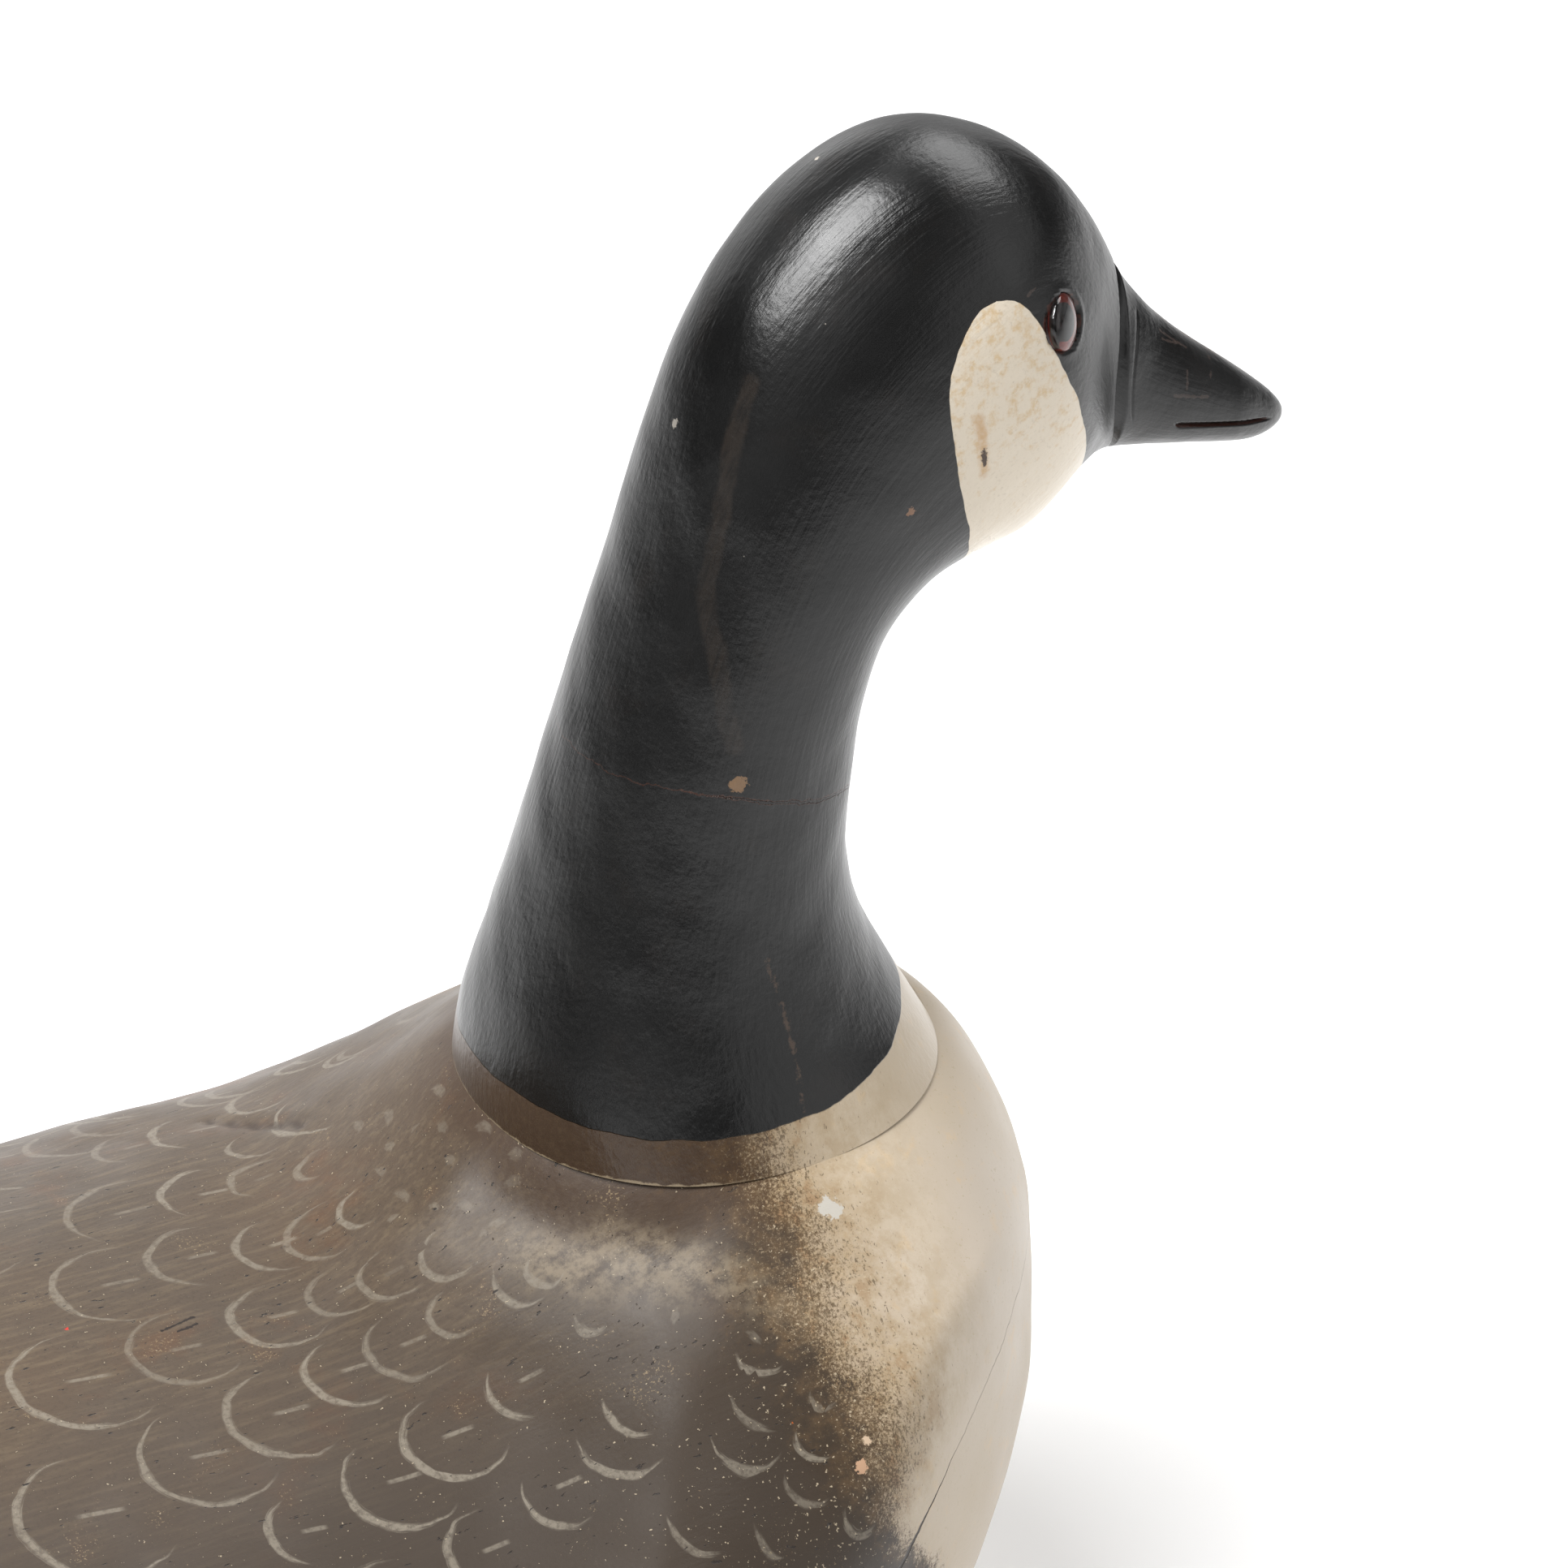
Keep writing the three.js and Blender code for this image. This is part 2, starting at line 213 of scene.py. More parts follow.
class NeckSettings(bpy.types.PropertyGroup):
    rings: IntProperty(name="Rings", description="Sections along neck, head and bill", default=330, min=60)
    sides: IntProperty(name="Sides", description="Points round a section", default=226, min=40)
    unevenness: FloatProperty(
        name="Unevenness", description="Height of the waves a spokeshave leaves, in mm", default=0.16, min=0
    )
    black: colour_property("Black", "Black oil paint of neck, head and bill", "#080808")
    cheek: colour_property("Cheek patch", "Cream oil paint of the cheeks", "#d6cab7")
    crack: FloatProperty(
        name="Crack", description="Half width of the crack in the neck, in mm", default=0.34, min=0
    )


class EyeSettings(bpy.types.PropertyGroup):
    iris: colour_property("Iris", "Red-brown paint behind the glass", "#6e1c11")
    pupil: FloatProperty(
        name="Pupil", description="Radius of the pupil as a share of the eye's", default=0.58, min=0, max=1
    )


class StageSettings(bpy.types.PropertyGroup):
    floor: colour_property("Floor", "Pale matt floor", "#f2f2f2")
    softbox: FloatProperty(
        name="Softboxes", description="Power of a full softbox", default=32, min=0, unit="POWER"
    )
    room: FloatProperty(name="Room", description="Brightness of the room around", default=1.0, min=0)


def spline_rows(knots, rows):
    """Natural cubic spline through rows of values at rising knots; returns a function of an array of t."""
    knots, rows = np.asarray(knots, float), np.asarray(rows, float)
    count = len(knots)
    step = np.diff(knots)
    slope = np.diff(rows, axis=0) / step[:, None]
    system, right = np.eye(count), np.zeros_like(rows)
    for i in range(1, count - 1):
        system[i, i - 1 : i + 2] = step[i - 1], 2 * (step[i - 1] + step[i]), step[i]
        right[i] = 6 * (slope[i] - slope[i - 1])
    bend = np.linalg.solve(system, right)

    def at(t):
        t = np.asarray(t, float)
        i = np.clip(np.searchsorted(knots, t, "right") - 1, 0, count - 2)
        after, before, h = (knots[i + 1] - t)[..., None], (t - knots[i])[..., None], step[i][..., None]
        cubic = (bend[i] * after**3 + bend[i + 1] * before**3) / (6 * h)
        low = (rows[i] / h - bend[i] * h / 6) * after
        return cubic + low + (rows[i + 1] / h - bend[i + 1] * h / 6) * before

    return at


def closing(share, power):
    """Quarter of a superellipse: 1 at share 0, 0 at share 1."""
    return (1 - np.clip(share, 0, 1) ** power) ** (1 / power)


def signed_power(value, power):
    """Power of a value's size, with the value's sign."""
    return np.sign(value) * np.abs(value) ** power


def smooth_step(value):
    """0 below 0, 1 above 1, and 3v² − 2v³ between."""
    value = np.clip(value, 0, 1)
    return value**2 * (3 - 2 * value)


def bell(distance, reach):
    """exp(−(distance / reach)²): 1 on a line, falling away within its reach."""
    return np.exp(-((distance / reach) ** 2))


def crowded(count, low, high, places):
    """count + 1 values from low to high whose density is 1 + Σ strength · bell(value − place, reach)."""
    fine = np.linspace(low, high, 6000)
    density = 1 + sum(strength * bell(fine - place, reach) for place, reach, strength in places)
    total = np.concatenate([[0], np.cumsum((density[1:] + density[:-1]) / 2)])
    return np.interp(np.linspace(0, total[-1], count + 1), total, fine)


def waves(points, length, seed, count=28):
    """Mean of plane waves of about one length in random directions, scaled to about −1..1."""
    rng = np.random.default_rng(seed)
    ways = rng.normal(size=(count, 3))
    ways *= (2 * np.pi / length * rng.uniform(0.6, 1.5, count) / np.linalg.norm(ways, axis=1))[:, None]
    phases = rng.uniform(0, 2 * np.pi, count)
    return np.sin(points @ ways.T + phases).sum(-1) / np.sqrt(count)


def grid_normals(points):
    """Outward normals of a grid that closes round its second direction."""
    along = np.gradient(points, axis=0)
    round_it = np.roll(points, -1, 1) - np.roll(points, 1, 1)
    normal = np.cross(along, round_it)
    normal /= np.linalg.norm(normal, axis=-1, keepdims=True) + 1e-12
    outward = ((points - points.mean(1, keepdims=True)) * normal).sum()
    return normal if outward > 0 else -normal


def path_distance(points, path):
    """Distance of each point from a line through the path's points, and its place along it from 0 to 1."""
    path = np.asarray(path, float)
    best, place = np.full(points.shape[:-1], 1e9), np.zeros(points.shape[:-1])
    for i, (start, end) in enumerate(zip(path[:-1], path[1:])):
        way = end - start
        share = np.clip(((points - start) @ way) / (way @ way), 0, 1)
        distance = np.linalg.norm(points - start - share[..., None] * way, axis=-1)
        nearer = distance < best
        best = np.where(nearer, distance, best)
        place = np.where(nearer, (i + share) / (len(path) - 1), place)
    return best, place


def blend_up(a, b, reach):
    """Smooth greater of two heights."""
    near = np.maximum(reach - np.abs(a - b), 0) / reach
    return np.maximum(a, b) + near**2 * reach / 4


def mound(x, y):
    """Height over the seat of the mound that carries the neck: it falls away from the seat's edge, less
    steeply in front, and runs straighter where the knife left a flat."""
    beyond = np.hypot(x - SEAT_CENTRE, y) - SEAT_RADIUS
    ahead = np.clip(np.cos(np.arctan2(y, x - SEAT_CENTRE)), 0, 1) ** 2
    fall = MOUND_FALL + (MOUND_FRONT_FALL - MOUND_FALL) * ahead
    outside = -fall * beyond - MOUND_FRONT_CURVE * ahead * beyond**2
    turn = np.arctan2(-y, SEAT_CENTRE - x) - np.radians(FLAT_WAY)
    along = (beyond + SEAT_RADIUS) * np.cos(np.clip(FLAT_TURN * turn, -1.5, 1.5)) - SEAT_RADIUS
    flat = -FLAT_DEPTH - FLAT_FALL * along + TOE_RISE * 2 * np.logaddexp(0, (along - FLAT_END) / 2)
    share = 1 - smooth_step((np.abs(turn) - np.radians(FLAT_HALF)) / np.radians(FLAT_FADE))
    outside += (flat - outside) * share * smooth_step(beyond / FLAT_START)
    return np.where(beyond < 0, np.minimum(MOUND_INSIDE, -beyond), outside)


body_lines = spline_rows([-row[0] for row in BODY_LINES], [row[1:] for row in BODY_LINES])
neck_lines = spline_rows(range(len(NECK_LINES)), NECK_LINES)


def body_points(x, turn):
    """Body surface, from the seat's middle: superellipse sections of width share · half width · plan(x)
    between the back's and the belly's lines, raised to the mound's height round the neck."""
    share, back, beam, belly = (column[:, None] for column in body_lines(-x).T)
    x = x[:, None]
    tail = closing((TAIL_X + TAIL_END_LENGTH - x) / TAIL_END_LENGTH, TAIL_POWER)
    plan = closing((x - BREAST_X + BREAST_LENGTH) / BREAST_LENGTH, PLAN_POWER) * tail
    rise = closing((x - BREAST_X + BREAST_HEIGHT_LENGTH) / BREAST_HEIGHT_LENGTH, BREAST_TOP_POWER)
    drop = closing((x - BREAST_X + BREAST_LENGTH) / BREAST_LENGTH, BREAST_BOTTOM_POWER)
    c, s = np.cos(turn), np.sin(turn)
    power = 2 / np.where(c > 0, BACK_POWER, BELLY_POWER)
    y = share * BODY_HALF_WIDTH * plan * signed_power(s, power)
    height = np.where(c > 0, (back - beam) * rise, (beam - belly) * drop)
    z = beam + signed_power(c, power) * tail * height - SEAT[2]
    fade = np.clip((BREAST_X - x) / MOUND_FADE, 0, 1)
    lift = fade * smooth_step(c / MOUND_REACH)
    z += lift * (blend_up(z, mound(x, y), MOUND_BLEND) - z)
    return np.stack([x + 0 * y, y, z], -1)


def neck_points(lines, turn, shrink=1.0, inset=0.0):
    """Neck and head surface, from the seat's middle: superellipses spanned between the back-and-crown line
    and the throat-and-chin line, bowed back at the sides. turn is 0 on the throat's side."""
    back_x, back_z, throat_x, throat_z, half, bow = (column[:, None] for column in np.atleast_2d(lines).T)
    c, s = signed_power(np.cos(turn), 2 / NECK_POWER), signed_power(np.sin(turn), 2 / NECK_POWER)
    depth = np.hypot(throat_x - back_x, throat_z - back_z) / 2
    reach = c * shrink * (1 - inset / depth)
    x = (back_x + throat_x) / 2 + (throat_x - back_x) / 2 * reach - bow * np.sin(turn) ** 2 * shrink
    z = (back_z + throat_z) / 2 + (throat_z - back_z) / 2 * reach
    return np.stack([x, (half - inset) * s * shrink, GAP + z], -1)


def grid_mesh(name, points, start, end):
    """Closed smooth mesh over rings of points, with a pole at each end, all from the seat's middle."""
    rings, sides = points.shape[:2]
    vertices = np.concatenate([points.reshape(-1, 3), [start], [end]]) + SEAT
    i, j = np.meshgrid(np.arange(rings - 1), np.arange(sides), indexing="ij")
    k = (j + 1) % sides
    quads = np.stack([i * sides + j, i * sides + k, (i + 1) * sides + k, (i + 1) * sides + j], -1)
    j = np.arange(sides)
    k = (j + 1) % sides
    last = (rings - 1) * sides
    first_pole, last_pole = rings * sides, rings * sides + 1
    fan_in = np.stack([np.full(sides, first_pole), k, j], -1)
    fan_out = np.stack([np.full(sides, last_pole), last + j, last + k], -1)
    corners = np.concatenate([quads.ravel(), fan_in.ravel(), fan_out.ravel()]).astype(np.int32)
    sizes = np.concatenate([np.full(len(quads.reshape(-1, 4)), 4), np.full(2 * sides, 3)])
    starts = np.concatenate([[0], np.cumsum(sizes)[:-1]]).astype(np.int32)
    mesh = bpy.data.meshes.new(name)
    mesh.vertices.add(len(vertices))
    mesh.vertices.foreach_set("co", (vertices * MM).astype(np.float32).ravel())
    mesh.loops.add(len(corners))
    mesh.loops.foreach_set("vertex_index", corners)
    mesh.polygons.add(len(starts))
    mesh.polygons.foreach_set("loop_start", starts)
    mesh.polygons.foreach_set("use_smooth", np.ones(len(starts), bool))
    mesh.update(calc_edges=True)
    return mesh


def write_fields(mesh, fields, kind="FLOAT", domain="POINT"):
    """Stores named fields for the paint to read: a value or vector for each vertex or face corner."""
    key = "value" if kind == "FLOAT" else "vector"
    for name, values in fields.items():
        field = mesh.attributes.new(name, kind, domain)
        field.data.foreach_set(key, np.asarray(values, np.float32).ravel())


def read_vertices(mesh):
    """Vertices in millimetres from the seat's middle."""
    flat = np.zeros(len(mesh.vertices) * 3, np.float32)
    mesh.vertices.foreach_get("co", flat)
    return flat.reshape(-1, 3).astype(float) / MM - SEAT


def from_axis(points, centre, out):
    """Distance of each point from the axis out through a centre, and its height along the axis."""
    offset = points - centre
    height = offset @ out
    return np.linalg.norm(offset - height[..., None] * out, axis=-1), height


def finished(name, mesh, material, nodes):
    """Makes the object, paints it, and lets it stand for its solid."""
    piece = bpy.data.objects.new(name, mesh)
    bpy.context.scene.collection.objects.link(piece)
    mesh.materials.append(material)
    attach(piece, "root")
    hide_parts(*nodes)
    return piece


# Knife cut on the body's left shoulder: path from the seat's middle, half width and depth.
KNIFE_CUT = ((-71.1, 70.1, -33.4), (-66.2, 59.7, -29.9), (-62.3, 50.9, -26.3), (-59.3, 42.7, -22.4))
KNIFE_HALF = 1.6
KNIFE_DEPTH = 1.0
# Thin slits of a knife's tip: start and end from the seat's middle.
BODY_SLITS = (
    ((-113.0, -2.8, -21.4), (-106.0, -1.4, -21.9)),
    ((-110.5, -4.2, -21.6), (-106.5, -3.6, -21.9)),
    ((-24.0, -66.6, -22.1), (-17.5, -66.0, -20.0)),
)


def carve_body_relief(points, settings):
    """Moves the grid along its normals: uneven waves, which die out at the seat's edge and the underside,
    less the depth of the knife cut. Returns the moved grid and how far each point lies in the cut."""
    beyond = np.hypot(points[..., 0] - SEAT_CENTRE, points[..., 1]) - SEAT_RADIUS
    calm = smooth_step(np.abs(beyond) / 12) * smooth_step((points[..., 2] + SEAT[2]) / 8)
    move = settings.unevenness * (0.7 * waves(points, 42, 3) + 0.3 * waves(points, 17, 4)) * calm
    distance, place = path_distance(points, KNIFE_CUT)
    cut = bell(distance, KNIFE_HALF * np.sin(np.pi * np.clip(place, 0.02, 0.98)) ** 0.5)
    return points + grid_normals(points) * (move - KNIFE_DEPTH * cut)[..., None], cut


def way_round(points):
    """Way round each section from the ridge, in mm, + to the right."""
    step = np.linalg.norm(np.roll(points, -1, 1) - points, axis=-1)
    way = np.concatenate([np.zeros((len(points), 1)), np.cumsum(step, 1)[:, :-1]], 1)
    total = step.sum(1, keepdims=True)
    return np.where(way > total / 2, way - total, way)


# Feather strokes painted by hand on the shoulders, on a chart of the skin in mm: x, way round from the
# ridge with + to the left, radius, and how far the stroke reaches from its back end to the left and to the
# right, in degrees. A scratch program worked out each from three points picked by eye in the photograph.
STROKES = (
    (-100, 38, 12.5, 125, 45),
    (-84, 36, 10, 115, 40),
    (-74, 35, 6.5, 145, 55),
    (-65, 29, 4.5, 135, 75),
    (-113, 15, 12.5, 125, 100),
    (-96, 16, 10, 120, 85),
    (-81, 12, 9, 105, 90),
    (-73, 9, 8, 125, 105),
    (-65, 8, 5.5, 100, 85),
    (-131, -10, 14, 105, 130),
    (-111, -9, 10.5, 115, 140),
    (-91, -8, 9.5, 120, 130),
    (-78, -9, 7.5, 100, 115),
    (-70, -12, 6.5, 110, 120),
    (-60, -16, 5.5, 100, 125),
    (-120, -37, 12.5, 80, 140),
    (-102, -33, 11.5, 95, 120),
    (-87, -29, 9, 90, 110),
    (-75, -29, 8.5, 85, 115),
    (-65, -28, 5.5, 95, 110),
    (-144, -43, 14.5, 105, 135),
    (-91, -56, 11, 70, 125),
    (-78, -52, 10, 85, 135),
    (-73, 65, 10, 85, 55),
    (-87, 66, 8, 95, 60),
    (-51, 49, 13, 70, 65),
    (-111, -60, 8, 80, 65),
    (-61, -49, 8.5, 45, 75),
    (-50, -30, 7.5, 50, 85),
    (-47, -32, 4.5, 65, 110),
    (-44, -65, 9.5, 25, 65),
    (-51, -69, 10, 25, 105),
    (-66, -72, 8.5, 35, 95),
    (-44, -46, 5, 25, 85),
    (-22, -80, 10.5, 10, 65),
    (-22, -74, 5.5, 15, 110),
    (-15, -87, 3, 30, 115),
    (-19, -93, 5, 30, 95),
    (-24, -99, 5.5, 30, 110),
    (-17, -110, 4, 45, 135),
    (-31, -85, 8.5, 20, 115),
    (-45, -91, 9.5, 20, 75),
    (-32, -103, 7.5, 25, 60),
)
# Short dabs between them and the neck: x, way round from the ridge, length, direction in degrees. Each
# was worked out in the same way from its two ends.
DABS = (
    (-52, 24, 7.5, -105),
    (-56, 16, 4, -100),
    (-56, 30, 6, -110),
    (-60, 12, 5, -90),
    (-52, 13, 3, -100),
    (-49, 7, 4.5, -95),
    (-52, -1, 3.5, -85),
    (-45, -2, 5.5, -80),
    (-44, -12, 4, -70),
    (-54, -11, 5, -70),
    (-58, -6, 3, -75),
    (-64, -1, 3, -45),
    (-54, -18, 2, -40),
    (-51, -18, 4.5, -35),
    (-60, 2, 6.5, -85),
    (-45, 16, 6.5, -90),
    (-46, -15, 4.5, -60),
    (-23, -72, 4.5, -65),
    (-34, -60, 3.5, 45),
)
DAB_RADIUS = 4.5
DAB_STRENGTH = 0.48
PAINTED_FRONT = -66  # ahead of this x the right shoulder has only the strokes and dabs above

# Further back and on the left the strokes follow a rule: rows fan out from the neck and step back by a
# length that grows with distance from it.
ROW_MIDDLE = -10
ROW_WIDTH = 21
ROW_WIDTH_AT = -75
ROW_SPREAD = 0.1
ROW_WIDEST = 31
STEP_GROWTH = 0.235
STEP_FROM = 66
STEP_LONGEST = 27
STROKE_END_X = -455


def ruled_strokes(settings):
    """Strokes of the rows. Row j lies at middle + j · width(x); step n of a row lies where the sum of
    1 / step length over the distance from the neck is n plus the row's start."""
    rng = np.random.default_rng(11)
    rows = np.arange(-10, 11)
    near = np.arange(-3, 26)
    row, count = (grid.ravel() for grid in np.meshgrid(rows, near, indexing="ij"))
    start = 0.5 * (row % 2) + 0.2 * np.sin(3 * row) + rng.normal(0, 0.06, len(row))
    first = settings.feather_step
    steps = count + start
    distance = STEP_FROM + first / STEP_GROWTH * (np.exp(STEP_GROWTH * np.minimum(steps, 30)) - 1)
    straight_from = STEP_FROM + (STEP_LONGEST - first) / STEP_GROWTH
    steps_there = np.log(STEP_LONGEST / first) / STEP_GROWTH
    distance = np.where(steps > steps_there, straight_from + (steps - steps_there) * STEP_LONGEST, distance)
    x = -distance
    for _ in range(12):
        side = ROW_MIDDLE + row * np.clip(ROW_WIDTH + ROW_SPREAD * (ROW_WIDTH_AT - x), 9, ROW_WIDEST)
        x = -np.sqrt(np.maximum(distance**2 - (0.85 * side) ** 2, 0))
    length = np.clip(first + STEP_GROWTH * (distance - STEP_FROM), 4.5, STEP_LONGEST)
    radius = np.minimum(0.62 * length**0.97, 14.5) * rng.uniform(0.9, 1.08, len(row))
    side = side + rng.normal(0, 0.9, len(row))
    turn = rng.normal(0, 0.1, len(row)) - 0.12 * np.sign(side)
    left, right = (np.radians(rng.uniform(*reach, len(row))) for reach in ((80, 126), (95, 138)))
    fewer = np.where(radius < 4.8, 0.6, 1.0)
    keep = (x < -14) & (x > STROKE_END_X) & (distance > np.abs(0.85 * side) + 1)
    keep &= (x < PAINTED_FRONT) | (side > 58)
    return np.stack([x, side, radius, turn, left * fewer, right * fewer], -1)[keep]


def feather_places(settings):
    """Centre, radius, direction and reach of every stroke on the chart, and how strongly it is painted."""
    rng = np.random.default_rng(12)
    drawn = np.array(STROKES, float)
    drawn = np.stack([*drawn[:, :3].T, np.zeros(len(drawn)), *np.radians(drawn[:, 3:]).T], -1)
    x, side, length, angle = np.array(DABS, float).T
    turn = np.radians(angle) - np.pi / 2
    reach = length / 2 / DAB_RADIUS
    x, side = x + DAB_RADIUS * np.cos(turn), side + DAB_RADIUS * np.sin(turn)
    dabs = np.stack([x, side, np.full(len(x), DAB_RADIUS), turn, reach, reach], -1)
    faint = np.concatenate([np.ones(len(drawn)), np.full(len(dabs), DAB_STRENGTH)])
    ruled = ruled_strokes(settings)
    away = np.hypot(ruled[:, None, 0] - drawn[:, 0], ruled[:, None, 1] - drawn[:, 1])
    free = (away > 1.25 * np.maximum(ruled[:, None, 2], drawn[:, 2])).all(1)
    strokes = np.concatenate([drawn, dabs, ruled[free]])
    strength = rng.uniform(0.55, 0.95, len(strokes))
    strength[: len(faint)] *= faint
    return np.concatenate([strokes, strength[:, None]], 1)


def nearest_feathers(face_x, face_s, feathers):
    """The two feathers whose stroke runs nearest to each face."""
    best = np.zeros((len(face_x), 2), int)
    block = 6000
    centre_x, centre_s, radius = (feathers[:, i].astype(np.float32) for i in range(3))
    for start in range(0, len(face_x), block):
        part = slice(start, start + block)
        away = np.hypot(face_x[part, None] - centre_x, face_s[part, None] - centre_s)
        gap = np.minimum(np.abs(away - radius), away)
        best[part] = np.argpartition(gap, 2, axis=1)[:, :2]
    return best


def write_feather_frames(mesh, chart, feathers):
    """For each face corner and each of the face's two feathers: place from the feather's centre, with x
    towards the stroke's open side, its radius, and how far and how strongly the stroke is drawn."""
    corner_vertex = np.zeros(len(mesh.loops), np.int32)
    mesh.loops.foreach_get("vertex_index", corner_vertex)
    sizes = np.zeros(len(mesh.polygons), np.int32)
    mesh.polygons.foreach_get("loop_total", sizes)
    face = np.repeat(np.arange(len(sizes)), sizes)
    corner = chart[corner_vertex]
    middle = np.stack([np.bincount(face, corner[:, i]) / sizes for i in range(2)], -1)
    best = nearest_feathers(*middle.astype(np.float32).T, feathers)
    for i, name in enumerate(("first", "second")):
        chosen = feathers[best[face, i]]
        offset = corner - chosen[:, :2]
        c, s = np.cos(chosen[:, 3]), np.sin(chosen[:, 3])
        local = np.stack([offset[:, 0] * c + offset[:, 1] * s, offset[:, 1] * c - offset[:, 0] * s], -1)
        place = np.concatenate([local, chosen[:, 2:3]], 1)
        fields = {f"{name}_feather_place": place, f"{name}_feather_reach": chosen[:, 4:7]}
        write_fields(mesh, fields, "FLOAT_VECTOR", "CORNER")


# The line where brown meets cream, and the drying check that crosses it on the right side.
EDGE_X = -8.5
CHECK_HEIGHT = -40
CHECK_TOP_X = 52
CHECK_START_X = -45


def breast_edge(points):
    """Signed distance, in mm, from the line where brown meets cream, + on the breast's side. The line
    lies further ahead at the sides and low down."""
    x, y, z = points.T
    return x - EDGE_X - 2 * smooth_step((np.abs(y) - 74) / 10) - 8 * smooth_step((-45 - z) / 30)


def breast_check(points):
    """Height over the drying check, a parabola round the right side of the breast, and far elsewhere."""
    x, y, z = points.T
    line = CHECK_HEIGHT - 0.005 * (CHECK_TOP_X - x) ** 2
    return np.where((y < -12) & (x > CHECK_START_X), z - line, FAR)


def saw_flat(mesh):
    """Saws the mesh off at the seat and at the underside, and closes both cuts."""
    work = bmesh.new()
    work.from_mesh(mesh)
    for height, way in ((SEAT[2], 1), (0.0, -1)):
        parts = work.verts[:] + work.edges[:] + work.faces[:]
        cut = bmesh.ops.bisect_plane(
            work, geom=parts, plane_co=(0, 0, height * MM), plane_no=(0, 0, way), clear_outer=True
        )["geom_cut"]
        rim = [part for part in cut if isinstance(part, bmesh.types.BMEdge)]
        for part in rim + bmesh.ops.contextual_create(work, geom=rim)["faces"]:
            part.smooth = False
    bmesh.ops.recalc_face_normals(work, faces=work.faces)
    work.to_mesh(mesh)
    work.free()


def body_grid(settings):
    """Places of the sections, closer towards breast and tail, and the turns round them, closer on the
    back, from the ridge to the right."""
    u = np.linspace(0, 1, settings.rings + 1)[1:-1]
    u -= 0.12 * np.sin(np.pi * u)
    x = BREAST_X + (TAIL_X - BREAST_X) * (0.5 - 0.5 * np.cos(np.pi * u)) ** RING_POWER
    turn = 2 * np.pi * np.arange(settings.sides) / settings.sides
    return x, 0.45 * np.sin(turn) - turn


class DECOY_OT_body(bpy.types.Operator):
    """Carves the body, saws its seat and underside flat, and paints it"""

    bl_idname = "decoy.body"
    bl_label = "Body"

    def execute(self, context):
        settings = context.scene.decoy_body
        points = body_points(*body_grid(settings))
        chart = np.stack([points[..., 0], -way_round(points)], -1).reshape(-1, 2)
        chart = np.concatenate([chart, [[BREAST_X, 0], [TAIL_X, 0]]])
        points, cut = carve_body_relief(points, settings)
        poles = [(end, 0, body_lines([-end])[0, 2] - SEAT[2]) for end in (BREAST_X, TAIL_X)]
        mesh = grid_mesh("body_painted", points, *poles)
        fields = {"skin_x": chart[:, 0], "skin_side": chart[:, 1], "knife_cut": np.append(cut, [0, 0])}
        write_fields(mesh, fields)
        saw_flat(mesh)
        chart = np.zeros((2, len(mesh.vertices)), np.float32)
        for row, name in zip(chart, ("skin_x", "skin_side")):
            mesh.attributes[name].data.foreach_get("value", row)
        write_feather_frames(mesh, chart.T.astype(float), feather_places(settings))
        vertices = read_vertices(mesh)
        write_fields(mesh, {"breast_edge": breast_edge(vertices), "breast_check": breast_check(vertices)})
        finished("body_painted", mesh, body_paint(settings), ["body"])
        return {"FINISHED"}


def eye_seat(side):
    """The skin's point where an eye sits and the way it looks; side is −1 for the right eye."""
    step = 0.02
    angle = np.radians(EYE_ANGLE)
    stations = neck_lines([EYE_STATION - step, EYE_STATION, EYE_STATION + step])
    grid = neck_points(stations, np.array([angle - step, angle, angle + step]))
    out = np.cross(grid[1, 2] - grid[1, 0], grid[2, 1] - grid[0, 1])
    out /= np.linalg.norm(out)
    out = out if out[1] < 0 else -out
    c, s = np.cos(np.radians(EYE_TURN)), np.sin(np.radians(EYE_TURN))
    out = np.array([out[0] * c - out[1] * s, out[0] * s + out[1] * c, out[2]])
    mirror = np.array([1, -side, 1])
    return grid[1, 1] * mirror, out * mirror


def groove_inset(stations, turn):
    """Depth of the groove between head and bill: it drops steeply from the head's edge and runs out on the
    bill. A fine knife line follows it part of the way."""
    from_crown = np.abs(np.degrees(turn) - 180)
    edges = spline_rows([row[0] for row in GROOVE_EDGES], [row[1:] for row in GROOVE_EDGES])(from_crown)
    share = (stations[:, None] - edges[:, 0]) / (edges[:, 1] - edges[:, 0])
    fall = np.clip(share / GROOVE_STEEP, 0, 1) * np.clip(1 - share, 0, 1) ** 0.8
    line = np.clip(1 - np.abs(stations - SCORE_STATION) / SCORE_HALF, 0, 1)[:, None]
    partly = smooth_step((from_crown - SCORE_FROM) / 12) * smooth_step((SCORE_TO - from_crown) / 12)
    return GROOVE_DEPTH * fall + SCORE_DEPTH * line * partly


def mouth_cut(points):
    """Share of its depth to which the mouth is cut: a slit with steep sides that tapers at both ends."""
    x, y, z = np.moveaxis(points, -1, 0)
    along = (x - MOUTH_X[0]) / (MOUTH_X[1] - MOUTH_X[0])
    open_by = smooth_step(along / 0.05) * np.clip(1 - along, 0, 1) ** 0.5
    off = np.abs(z - MOUTH_START_HEIGHT + MOUTH_FALL * (x - MOUTH_X[0]))
    cut = 1 - smooth_step((off - MOUTH_HALF * open_by) / MOUTH_SIDE)
    inside = (np.abs(y) > LIP_FREE) & (along > 0) & (along < 1)
    return np.where(inside, cut * np.minimum(3 * open_by, 1), 0)


